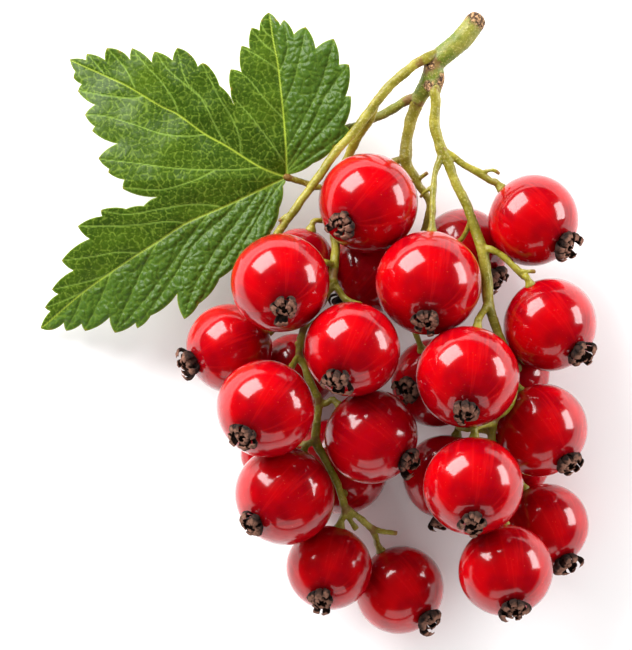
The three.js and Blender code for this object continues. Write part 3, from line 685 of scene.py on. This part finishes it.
# ---------------------------------------------------------------- leaf
# One three-lobed currant leaf, a thin living blade. Three main ribs run
# from the stalk to the lobe tips, side veins run to the teeth, and a fine
# net quilts the skin between them.
leaf_base = (-3.4, 16.2)
left_tip = (-27.4, 29.3)
upper_lobe = [
    (-3.1, 16.5), (-0.5, 17.7), (1.9, 19.5), (3.6, 21.3), (3.0, 21.9),
    (3.7, 25.1), (3.1, 25.1), (3.5, 28.6), (2.4, 28.6), (1.8, 31.5),
    (-0.2, 30.4), (-1.3, 32.8), (-2.6, 32.0), (-3.7, 33.6), (-4.1, 33.0),
    (-4.5, 33.6), (-5.4, 34.4), (-6.2, 33.6), (-6.4, 32.4), (-7.3, 32.7),
    (-7.5, 30.4), (-8.4, 30.7), (-8.4, 27.8), (-9.6, 28.1), (-9.6, 25.9),
]
left_lobe = [
    (-9.2, 24.2), (-10.8, 26.3), (-12.2, 28.6), (-12.7, 28.8), (-13.2, 28.4),
    (-14.1, 29.8), (-15.5, 30.5), (-16.0, 29.1), (-18.0, 30.1), (-18.3, 28.9),
    (-20.5, 30.5), (-20.7, 29.2), (-21.8, 30.2), (-23.3, 30.5), (-23.5, 29.2),
    (-25.5, 29.9), (-25.6, 29.2), (-27.4, 29.3), (-26.8, 27.9), (-27.0, 27.2),
    (-26.1, 26.5), (-26.5, 25.7), (-24.6, 24.2), (-25.7, 23.1), (-24.6, 21.8),
    (-24.9, 21.3), (-22.1, 19.9), (-24.2, 18.3), (-23.0, 17.1), (-23.1, 16.7),
    (-21.3, 15.9), (-21.5, 14.9),
]
lower_lobe = [
    (-17.7, 14.0), (-19.2, 13.0), (-21.1, 12.7), (-23.9, 12.6), (-23.8, 11.9),
    (-26.5, 10.8), (-25.2, 9.4), (-28.3, 7.0), (-27.0, 5.9), (-29.4, 3.8),
    (-28.7, 3.3), (-30.2, 1.8), (-29.6, 1.4), (-30.7, -0.5), (-29.5, -0.7),
    (-28.1, 0.1), (-27.8, -0.8), (-26.1, 0.0), (-25.7, -0.8), (-23.0, 0.7),
    (-22.4, -1.0), (-20.1, 0.1), (-19.9, -0.5), (-18.4, 0.9), (-15.5, 3.3),
    (-14.7, 0.5), (-13.1, 2.2), (-10.8, 5.0), (-7.8, 8.2), (-5.9, 9.2),
    (-5.1, 10.2), (-4.2, 12.8), (-3.8, 15.2),
]
main_ribs = [
    [(-3.4, 16.2), (-3.5, 19.4), (-3.7, 22.2), (-4.0, 25.3), (-4.4, 28.7), (-4.9, 31.3), (-5.3, 34.0)],
    [(-3.4, 16.2), (-6.3, 17.3), (-10.0, 19.6), (-12.5, 21.0), (-15.4, 23.1), (-17.4, 24.1), (-20.9, 26.2),
     (-23.0, 27.2), (-27.2, 29.1)],
    [(-3.4, 16.2), (-7.8, 14.1), (-10.4, 12.9), (-14.5, 11.1), (-17.6, 9.1), (-20.9, 7.0), (-25.9, 3.5),
     (-30.4, -0.3)],
]
side_veins = [
    # the lobe that points up
    [(-3.8, 22.7), (-5.9, 24.9), (-7.8, 27.2), (-9.4, 28.0)],
    [(-4.2, 28.0), (-6.6, 29.6), (-8.3, 30.5)],
    [(-4.7, 29.9), (-6.0, 31.0), (-7.2, 32.4)],
    [(-4.9, 31.5), (-5.9, 32.4), (-6.3, 33.3)],
    [(-3.6, 17.8), (-6.8, 22.2), (-9.1, 24.8)],
    [(-3.5, 19.1), (-2.1, 21.5), (-0.1, 25.3), (1.0, 28.4), (1.8, 31.2)],
    [(-3.7, 24.1), (-2.7, 26.5), (-2.1, 28.7), (-1.3, 32.5)],
    [(-3.4, 17.2), (-0.9, 21.3), (1.0, 25.3), (3.4, 28.5)],
    [(-3.4, 16.8), (-0.6, 20.1), (1.8, 22.7), (3.6, 25.0)],
    [(-3.4, 16.6), (0.1, 18.9), (3.4, 21.3)],
    [(-4.2, 27.7), (-3.3, 30.3), (-3.7, 33.3)],
    # the lobe that points left, its upper then its lower side
    [(-8.5, 18.9), (-8.6, 20.3), (-9.2, 22.2), (-10.9, 25.1), (-12.7, 28.6)],
    [(-10.2, 20.0), (-11.1, 21.5), (-12.8, 24.9), (-14.5, 26.8), (-15.5, 30.3)],
    [(-12.8, 24.9), (-16.4, 28.0), (-17.9, 30.0)],
    [(-15.4, 23.5), (-16.0, 24.9), (-17.3, 26.8), (-18.8, 28.4), (-20.4, 30.3)],
    [(-20.2, 26.2), (-21.4, 28.4), (-23.2, 30.4)],
    [(-23.6, 27.7), (-25.4, 29.8)],
    [(-19.3, 25.2), (-20.4, 24.9), (-22.3, 25.1), (-24.5, 25.4), (-26.4, 25.8)],
    [(-12.5, 20.9), (-14.5, 20.7), (-17.3, 21.0), (-20.2, 22.0), (-23.3, 22.9), (-25.6, 23.1)],
    [(-6.3, 17.3), (-9.4, 17.0), (-14.9, 17.1), (-19.7, 17.7), (-24.1, 18.2)],
    [(-11.4, 16.9), (-13.7, 15.8), (-17.3, 14.8), (-21.3, 15.0)],
    # the lobe that points down, its upper then its lower side
    [(-14.5, 11.1), (-16.4, 11.3), (-20.2, 10.9), (-23.8, 10.8), (-26.4, 10.8)],
    [(-19.6, 7.8), (-22.1, 7.9), (-25.0, 7.4), (-28.2, 7.0)],
    [(-22.8, 5.6), (-25.0, 4.8), (-29.3, 3.8)],
    [(-25.9, 3.5), (-28.0, 2.6), (-30.1, 1.8)],
    [(-10.4, 12.9), (-13.5, 13.2), (-17.3, 12.7), (-20.9, 12.1), (-23.9, 12.5)],
    [(-3.8, 15.7), (-5.4, 13.6), (-7.8, 9.4), (-9.0, 7.0)],
    [(-5.2, 14.8), (-8.3, 9.8), (-10.9, 6.3), (-12.8, 2.6)],
    [(-6.3, 14.7), (-8.7, 11.5), (-11.4, 7.9), (-13.5, 4.1), (-14.7, 0.6)],
    [(-8.3, 14.0), (-10.4, 11.7), (-13.5, 8.9), (-16.1, 4.8), (-19.9, -0.3)],
    [(-11.8, 12.4), (-14.0, 9.6), (-16.5, 6.0), (-20.0, 1.5), (-22.4, -0.9)],
    [(-17.6, 9.1), (-18.8, 7.0), (-20.4, 3.6), (-22.3, -0.5)],
    [(-22.8, 5.7), (-23.8, 3.1), (-25.7, -0.6)],
    [(-25.9, 3.5), (-26.6, 1.5), (-27.8, -0.7)],
]


def curve_through(points, step=0.3):
    """Even points along a Catmull-Rom curve through flat points."""
    knots = np.array(points, float)
    knots = np.vstack([2 * knots[0] - knots[1], knots, 2 * knots[-1] - knots[-2]])
    pieces = []
    for a, b, c, d in zip(knots, knots[1:], knots[2:], knots[3:]):
        count = max(2, int(np.linalg.norm(c - b) / step))
        t = np.linspace(0, 1, count, endpoint=False)[:, None]
        pieces.append(
            0.5 * (2 * b + (c - a) * t + (2 * a - 5 * b + 4 * c - d) * t**2 + (3 * b - a - 3 * c + d) * t**3)
        )
    return np.vstack(pieces + [knots[-2:-1]])


def line_distance(places, line, closed=False):
    """Distance from each place to a line, and how far along the line its nearest point is, 0 to 1."""
    starts = np.asarray(line, float)
    ends = np.roll(starts, -1, axis=0) if closed else starts[1:]
    starts = starts if closed else starts[:-1]
    best = np.full(len(places), 1e9)
    along = np.zeros(len(places))
    for i, (a, b) in enumerate(zip(starts, ends)):
        way = b - a
        t = np.clip((places - a) @ way / max(way @ way, 1e-9), 0, 1)
        away = np.linalg.norm(places - a - t[:, None] * way, axis=1)
        closer = away < best
        best[closer] = away[closer]
        along[closer] = (i + t[closer]) / len(starts)
    return best, along


def leaf_height(places):
    """The blade rises from its stalk, bends down again and folds up beside each rib."""
    away = np.linalg.norm(places - leaf_base, axis=1)
    fold = np.full(len(places), 1e9)
    for tip in (upper_tip, left_tip, lower_tip):
        fold = np.minimum(fold, line_distance(places, [leaf_base, tip])[0])
    return 7.0 + 0.2 * away - 0.0126 * away**2 + 0.2 * fold


# Teeth bulge between their tips and the notches.
corners = np.array([leaf_base, *upper_lobe, *left_lobe, *lower_lobe])
rim = []
for here, there in zip(corners, np.roll(corners, -1, axis=0)):
    way = there - here
    out = np.array((way[1], -way[0]))
    steps = max(2, int(np.linalg.norm(way) / 0.22))
    for t in np.arange(steps) / steps:
        rim.append(here + way * t + out * 0.3 * t * (1 - t))
rim = np.array(rim)


def within(outline, places):
    """Which places lie inside an outline."""
    inside = np.zeros(len(places), bool)
    for a, b in zip(outline, np.roll(outline, -1, axis=0)):
        crosses = (a[1] > places[:, 1]) != (b[1] > places[:, 1])
        rise = b[1] - a[1] if b[1] != a[1] else 1e-9
        inside ^= crosses & (places[:, 0] < (b[0] - a[0]) * (places[:, 1] - a[1]) / rise + a[0])
    return inside


# Blade points on a hexagonal grid inside the rim.
SPACING = 0.135
row = SPACING * math.sqrt(3) / 2
low_x, low_y = rim.min(axis=0)
high_x, high_y = rim.max(axis=0)
grid = np.array([
    (low_x + (i + 0.5 * (j % 2)) * SPACING, low_y + j * row)
    for j in range(int((high_y - low_y) / row) + 1)
    for i in range(int((high_x - low_x) / SPACING) + 1)
])
grid = grid[within(rim, grid)]
rim_away = line_distance(grid, rim, closed=True)[0]
grid = grid[rim_away > SPACING * 0.55]
flat = np.vstack([rim, grid])
boundary = [(i, (i + 1) % len(rim)) for i in range(len(rim))]
flat_vectors = [Vector(place) for place in flat]
placed, _, triangles, _, _, _ = delaunay_2d_cdt(
    flat_vectors, boundary, [list(range(len(rim)))], 1, 1e-7, False
)
blade = np.array([tuple(place) for place in placed])
triangles = np.array([t[:3] for t in triangles])
triangles = triangles[within(rim, blade[triangles].mean(axis=1))]

# How near each point is to a rib, a side vein, the net, the rim and a tooth tip.
rib_line = np.zeros(len(blade))
rib_away = np.full(len(blade), 1e9)
vein_line = np.zeros(len(blade))
vein_away = np.full(len(blade), 1e9)
for rib in main_ribs:
    away, along = line_distance(blade, curve_through(rib))
    rib_line = np.maximum(rib_line, np.clip(1.35 - away / (0.11 - 0.055 * along), 0, 1))
    rib_away = np.minimum(rib_away, away)
for vein in side_veins:
    away, along = line_distance(blade, curve_through(vein))
    vein_line = np.maximum(vein_line, np.clip(1.3 - away / (0.085 - 0.03 * along), 0, 1))
    vein_away = np.minimum(vein_away, away)


def net(places, size, seed):
    """Cells of about this size: the gap between the two nearest cell middles, in cell sizes."""
    scatter = np.random.default_rng(seed)
    low, high = places.min(axis=0) - 1, places.max(axis=0) + 1
    count = ((high - low) / size).astype(int) + 1
    middles = np.array(
        [(low[0] + i * size, low[1] + j * size) for i in range(count[0]) for j in range(count[1])]
    )
    middles += scatter.uniform(-0.42, 0.42, middles.shape) * size
    tree = kdtree.KDTree(len(middles))
    for i, (x, y) in enumerate(middles):
        tree.insert((x, y, 0), i)
    tree.balance()
    near = [tree.find_n((x, y, 0), 2) for x, y in places]
    return np.array([pair[1][2] - pair[0][2] for pair in near]) / size


wander = np.array([(noise.noise((x, y, 1.0)), noise.noise((x, y, 5.0))) for x, y in blade]) * 0.35
cells = net(blade + wander, 0.82, 4)
small_cells = net(blade + wander * 1.4, 0.48, 9)
net_line = np.clip(1.25 - cells / 0.1, 0, 1)
small_net_line = np.clip(1.15 - small_cells / 0.2, 0, 1)

# The right half of the upper lobe and the lower half of the lower lobe are
# strongly quilted; the rest lies flatter.
lower_rib = np.array(main_ribs[2])
under = np.interp(-blade[:, 0], -lower_rib[:, 0], lower_rib[:, 1]) - blade[:, 1]
under = np.where(blade[:, 0] < -3.4, under, -1)
upper_rib = np.array(main_ribs[0])
right = blade[:, 0] - np.interp(blade[:, 1], upper_rib[:, 1], upper_rib[:, 0])
right = np.where(blade[:, 1] > 16.2, right, -1)
quilt = np.clip(np.maximum(under / 0.8, right / 0.6), 0, 1)
quilt *= np.clip(np.linalg.norm(blade - leaf_base, axis=1) / 3, 0.3, 1)

pillow = np.clip(cells * 1.6, 0, 1) ** 0.7
small_pillow = np.clip(small_cells * 1.6, 0, 1) ** 0.7
relief = (0.03 + 0.12 * quilt) * pillow + (0.02 + 0.045 * quilt) * small_pillow
relief += (0.08 + 0.26 * quilt) * (1 - np.exp(-np.minimum(vein_away, rib_away) / 0.55))
relief -= 0.12 * rib_line + 0.04 * vein_line
rim_line, _ = line_distance(blade, rim, closed=True)
relief *= np.clip(rim_line / 0.5, 0.15, 1)
ripple = np.array([noise.noise((x / 3.1, y / 3.1, 2.0)) for x, y in blade]) * 0.35
surface = leaf_height(blade) + 0.3 + relief + ripple
tips = np.array([
    corners[i] for i in range(len(corners))
    if np.cross(corners[i] - corners[i - 1], corners[(i + 1) % len(corners)] - corners[i]) > 0
    and np.linalg.norm(corners[i] - leaf_base) > 4
])
tip_away = np.min(np.linalg.norm(blade[:, None, :] - tips[None, :, :], axis=2), axis=1)

# The underside follows the top, 0.22 mm below it, and the rim is closed.
count = len(blade)
top = np.column_stack([blade, surface])
underside = np.column_stack([blade, surface - 0.08 - 0.16 * np.clip(rim_line / 0.5, 0, 1)])
walls = []
edge_use = {}
for a, b, c in triangles:
    for edge in ((a, b), (b, c), (c, a)):
        edge_use[edge] = True
for a, b in edge_use:
    if (b, a) not in edge_use:
        walls.append((a, a + count, b + count, b))
leaf_mesh = bpy.data.meshes.new("leaf_blade")
faces = [tuple(t) for t in triangles.tolist()]
faces += [(c + count, b + count, a + count) for a, b, c in triangles.tolist()]
faces += [tuple(map(int, wall)) for wall in walls]
leaf_mesh.from_pydata(np.vstack([top, underside]).tolist(), [], faces)
leaf_mesh.update()
for name, values in {
    "rib": rib_line, "vein": vein_line, "net": net_line, "fine_net": small_net_line,
    "rim": rim_line, "tooth": tip_away, "quilt": quilt,
}.items():
    set_attribute(leaf_mesh, name, np.concatenate([values, values]))
set_attribute(leaf_mesh, "underside", np.concatenate([np.zeros(count), np.ones(count)]))

leaf = Paint("leaf_green")
patch = leaf.step(leaf.noise(160, 3, 0.6), 0.35, 0.7)
quilted = leaf.attribute("quilt")
green = leaf.mix(patch, (0.022, 0.05, 0.0006), (0.044, 0.084, 0.001))
# Painted sheen: the quilted halves are mixed towards a paler, bluer green that stands for their bluish gloss.
green = leaf.mix(quilted * 0.85, green, (0.04, 0.083, 0.009))
green = leaf.mix(leaf.step(leaf.noise(5200, 3, 0.6), 0.45, 0.75) * 0.35, green, (0.015, 0.05, 0.002))
lines = leaf.attribute("net") * (0.62 - quilted * 0.35) * leaf.step(leaf.noise(900, 2), 0.1, 0.5)
green = leaf.mix(lines, green, (0.17, 0.25, 0.025))
fine = leaf.attribute("fine_net") * (0.34 - quilted * 0.2) * leaf.step(leaf.noise(700, 2), 0.2, 0.55)
green = leaf.mix(fine, green, (0.1, 0.17, 0.012))
green = leaf.mix(leaf.attribute("vein") * (0.7 - quilted * 0.35), green, (0.2, 0.31, 0.045))
green = leaf.mix(leaf.attribute("rib") * 0.9, green, (0.33, 0.42, 0.04))
edge = leaf.step(leaf.attribute("rim"), 0.16, 0.02)
green = leaf.mix(edge * 0.6, green, (0.22, 0.27, 0.02))
tooth = leaf.step(leaf.attribute("tooth") + leaf.noise(1500, 2) * 0.3, 0.5, 0.2)
green = leaf.mix(tooth * 0.5, green, (0.22, 0.13, 0.015))
green = leaf.mix(leaf.attribute("underside"), green, (0.13, 0.2, 0.05))
leaf_bumps = leaf.noise(5200, 3, 0.6) * 0.5 + leaf.noise(1600, 2) * 0.5
leaf_material = leaf.finish({
    "Base Color": green,
    "Roughness": 0.36 - quilted * 0.1 + leaf.noise(2600, 2) * 0.1,
    "Normal": leaf.bump(leaf_bumps, 0.00006, 0.7),
    "Specular IOR Level": 0.15,
    "Subsurface Weight": 0.06,
    "Subsurface Radius": (0.3, 0.8, 0.1),
    "Subsurface Scale": 0.0006,
})
leaf_mesh.materials.append(leaf_material)
add_piece("leaf_blade_grown", leaf_mesh, "leaf_blade")

# ---------------------------------------------------------------- berries
# Twenty-seven ripe redcurrants: thin glossy skin over clear red flesh,
# slightly flattened from flower end to stalk, puckered at both ends. Each
# hangs on its own fruit stalk and the lowest lie on the table.
berry_shape = Shape("ripe_berry", {"Seed": "Float", "Lumps": "Float", "Material": "Material"})
ball = berry_shape.node("GeometryNodeMeshUVSphere", inputs={"Segments": 72, "Rings": 44, "Radius": 1.0})
spot = berry_shape.node("GeometryNodeInputPosition")
split = berry_shape.tree.nodes.new("ShaderNodeSeparateXYZ")
berry_shape.tree.links.new(spot.socket, split.inputs[0])
axial = Value(berry_shape, split.outputs["Z"])
stored = berry_shape.node(
    "GeometryNodeStoreNamedAttribute",
    {"data_type": "FLOAT_VECTOR", "domain": "POINT"},
    {"Geometry": ball, "Name": "skin", "Value": spot},
)
lump_inputs = {"Vector": spot, "W": berry_shape.size("Seed"), "Scale": 1.1, "Detail": 1.0}
lump = berry_shape.node("ShaderNodeTexNoise", {"noise_dimensions": "4D"}, lump_inputs)
near_flower = (axial * 0.5 + 0.5) ** 40.0
near_stalk = (axial * -0.5 + 0.5) ** 30.0
swell = 1.0 + (lump - 0.5) * berry_shape.size("Lumps") - near_flower * 0.07 - near_stalk * 0.06
grown = berry_shape.vector("MULTIPLY", spot, (1.0, 1.0, OBLATE))
scaled = berry_shape.node("ShaderNodeVectorMath", {"operation": "SCALE"}, {0: grown, "Scale": swell})
berry_shape.finish(
    berry_shape.node("GeometryNodeSetPosition", inputs={"Geometry": stored, "Position": scaled})
)

skin = Paint("berry_skin")
skin_place = skin.attribute("skin", "Vector")
around = skin.vector("NORMALIZE", skin.vector("MULTIPLY", skin_place, (1, 1, 0)))
pole = skin.node("ShaderNodeSeparateXYZ", inputs={0: skin_place}, output="Z")
meridian = skin.vector(
    "ADD", skin.vector("MULTIPLY", around, (7, 7, 0)), skin.vector("MULTIPLY", skin_place, (0, 0, 0.5))
)
vein = skin.step(skin.noise(1.5, 2, 0.6, vector=meridian), 0.54, 0.66)
cloud = skin.step(skin.noise(1.3, 2, 0.5, vector=skin_place), 0.3, 0.7)
# Painted shade: the berries lying behind and under the others are mixed towards a darker red.
tone = skin.attribute("tone")
red = skin.mix(cloud, (0.23, 0.0, 0.003), (0.41, 0.0, 0.002))
red = skin.mix(tone, red, (0.24, 0.0, 0.005))
red = skin.mix(vein * 0.22, red, (0.6, 0.01, 0.01))
# Painted shade: the skin darkens round the dried flower, in its pucker.
calyx_painted_shade = skin.step(pole, 0.9, 1.0)
red = skin.mix(calyx_painted_shade * 0.4, red, (0.2, 0.004, 0.006))
# Painted glints: small pale pink dots scattered over the skin.
painted_glint_dots = skin.step(skin.noise(26, 1, 0.5, vector=skin_place), 0.72, 0.78)
red = skin.mix(painted_glint_dots * 0.25, red, (0.85, 0.16, 0.08))
skin_bumps = skin.noise(5, 2, 0.5, vector=skin_place) * 0.7 + skin.noise(40, 2, 0.5, vector=skin_place) * 0.08
berry_red = skin.finish({
    "Base Color": red,
    "Roughness": 0.25,
    "Normal": skin.bump(skin_bumps + vein * 0.05, 0.0001, 0.5),
    "Subsurface Weight": 0.7,
    "Subsurface Radius": (3.2, 0.3, 0.2),
    "Subsurface Scale": 0.001,
    "Coat Weight": 1.0,
    "Coat Roughness": 0.1,
    "Coat IOR": 1.42,
    "Specular IOR Level": 0.05,
})


def frame_on(axis):
    """Two directions square to an axis, and the axis."""
    side = np.cross(axis, (0.2, 0.35, 0.91))
    side /= np.linalg.norm(side)
    return np.array([side, np.cross(axis, side), axis])


# How strongly painted shade darkens each berry that lies behind and under the others.
back_berry_painted_shade = {
    3: 0.7, 5: 0.5, 8: 0.35, 15: 0.3, 16: 0.35, 17: 0.5, 18: 0.4, 20: 0.4, 23: 0.35, 25: 0.4, 26: 0.35,
}
for number, (middle, radius, axis) in berries.items():
    mesh = berry_shape.apply(
        bpy.data.meshes.new("seed"), {"Seed": number * 3.7, "Lumps": 0.035, "Material": berry_red}
    )
    places = coordinates(mesh) @ frame_on(axis) * radius + middle
    places[:, 2] = np.maximum(places[:, 2], 0)
    place_vertices(mesh, places)
    set_attribute(mesh, "tone", np.full(len(places), back_berry_painted_shade.get(number, 0.0)))
    add_piece(f"redcurrant_{number:02d}", mesh, f"berry_{number:02d}")

# ---------------------------------------------------------------- calyxes
# The flower's dried remains at the end of each berry: about ten brown
# crumpled lobes round a dark tuft, still growing out of the skin.
calyx_shape = Shape("dried_flower", {
    "Lobes": "Int", "Length": "Float", "Spread": "Float", "Width": "Float", "Crumple": "Float", "Seed": "Int",
    "Material": "Material",
})


def lobe_ring(lobes, foot, length, spread, width, seed_step):
    """A ring of thin bent lobes that lean outwards from their foot."""
    slab = calyx_shape.node("GeometryNodeMeshCube", inputs={"Vertices X": 2, "Vertices Y": 6, "Vertices Z": 9})
    place = calyx_shape.node("GeometryNodeInputPosition")
    split = calyx_shape.tree.nodes.new("ShaderNodeSeparateXYZ")
    calyx_shape.tree.links.new(place.socket, split.inputs[0])
    thick, across, up = (Value(calyx_shape, split.outputs[i]) for i in range(3))
    t = up + 0.5
    slab = calyx_shape.node(
        "GeometryNodeStoreNamedAttribute", {"data_type": "FLOAT"}, {"Geometry": slab, "Name": "tip", "Value": t}
    )
    leaning = foot + spread * (t * 3.2 - t * t * 3.0) + thick * 0.14 - across * across * (0.5 * width)
    sideways = across * width * (0.6 + t * 0.95 - t * t * 0.95)
    rising = length * (t - t**3.0 * 0.2)
    bent = calyx_shape.node("ShaderNodeCombineXYZ", inputs={0: leaning, 1: sideways, 2: rising})
    lobe = calyx_shape.node("GeometryNodeSetPosition", inputs={"Geometry": slab, "Position": bent})
    ring = calyx_shape.node("GeometryNodeMeshCircle", inputs={"Vertices": lobes, "Radius": 0.001})
    index = calyx_shape.node("GeometryNodeInputIndex")
    seed = calyx_shape.size("Seed") + seed_step

    wobble = calyx_shape.random({2: -0.22, 3: 0.22, 8: seed})
    lean = calyx_shape.random({2: -0.16, 3: 0.16, 8: seed + 3})
    stretch = calyx_shape.random({2: 0.72, 3: 1.15, 8: seed + 7})
    full_turn = calyx_shape.math_of("DIVIDE", 2 * math.pi, lobes)
    turn = calyx_shape.node("ShaderNodeCombineXYZ", inputs={1: lean, 2: index * full_turn + wobble})
    turn = calyx_shape.node("FunctionNodeEulerToRotation", inputs={0: turn})
    size = calyx_shape.node("ShaderNodeCombineXYZ", inputs={0: stretch, 1: 1.0, 2: stretch})
    inputs = {"Points": ring, "Instance": lobe, "Rotation": turn, "Scale": size}
    return calyx_shape.node("GeometryNodeInstanceOnPoints", inputs=inputs)


outer = lobe_ring(
    calyx_shape.size("Lobes"), 0.9, calyx_shape.size("Length"), calyx_shape.size("Spread"),
    calyx_shape.size("Width"), 0,
)
inner = lobe_ring(
    calyx_shape.size("Lobes") - 3, 0.35, calyx_shape.size("Length") * 0.9, calyx_shape.size("Spread") * 0.6,
    calyx_shape.size("Width") * 0.7, 11,
)
core = calyx_shape.node("GeometryNodeMeshUVSphere", inputs={"Segments": 16, "Rings": 8, "Radius": 0.72})
core_place = calyx_shape.vector("MULTIPLY", calyx_shape.node("GeometryNodeInputPosition"), (1, 1, 0.75))
core = calyx_shape.node("GeometryNodeSetPosition", inputs={"Geometry": core, "Position": core_place})
tuft = calyx_shape.node("GeometryNodeRealizeInstances", inputs={0: calyx_shape.join([outer, inner, core])})
crumple_inputs = {
    "Vector": calyx_shape.node("GeometryNodeInputPosition"), "W": calyx_shape.size("Seed") * 1.7,
    "Scale": 2.2, "Detail": 3.0, "Roughness": 0.65,
}
crumple = calyx_shape.node("ShaderNodeTexNoise", {"noise_dimensions": "4D"}, crumple_inputs, output="Color")
crumple = calyx_shape.vector("SUBTRACT", crumple, (0.5, 0.5, 0.5))
crumple = calyx_shape.node(
    "ShaderNodeVectorMath", {"operation": "SCALE"}, {0: crumple, "Scale": calyx_shape.size("Crumple")}
)
calyx_shape.finish(calyx_shape.node("GeometryNodeSetPosition", inputs={"Geometry": tuft, "Offset": crumple}))

dried = Paint("dried_calyx")
tip_along = dried.attribute("tip")
brown = dried.mix(
    dried.step(dried.noise(1800, 3, 0.6), 0.35, 0.65), (0.006, 0.003, 0.0025), (0.034, 0.014, 0.009)
)
pale = dried.step(tip_along + dried.noise(2600, 3, 0.6) * 0.8 - 0.4, 0.6, 1.05)
brown = dried.mix(pale * 0.8, brown, (0.26, 0.12, 0.08))
dried_brown = dried.finish({
    "Base Color": brown,
    "Roughness": 0.85,
    "Normal": dried.bump(dried.noise(6000, 3, 0.6), 0.00008, 0.9),
    "Specular IOR Level": 0.2,
})
for number, (middle, radius, axis) in berries.items():
    small = 0.7 if radius < 3.5 else 1.0
    values = {
        "Lobes": 10, "Length": 1.55 * small, "Spread": 0.72 * small, "Width": 0.84 * small,
        "Crumple": 0.42 * small, "Seed": number, "Material": dried_brown,
    }
    mesh = calyx_shape.apply(bpy.data.meshes.new("seed"), values)
    places = coordinates(mesh) * 1.15 @ frame_on(axis) + middle + axis * (radius * OBLATE - 0.25)
    places[:, 2] = np.maximum(places[:, 2], 0.02)
    place_vertices(mesh, places)
    add_piece(f"dried_flower_{number:02d}", mesh, f"calyx_{number:02d}")
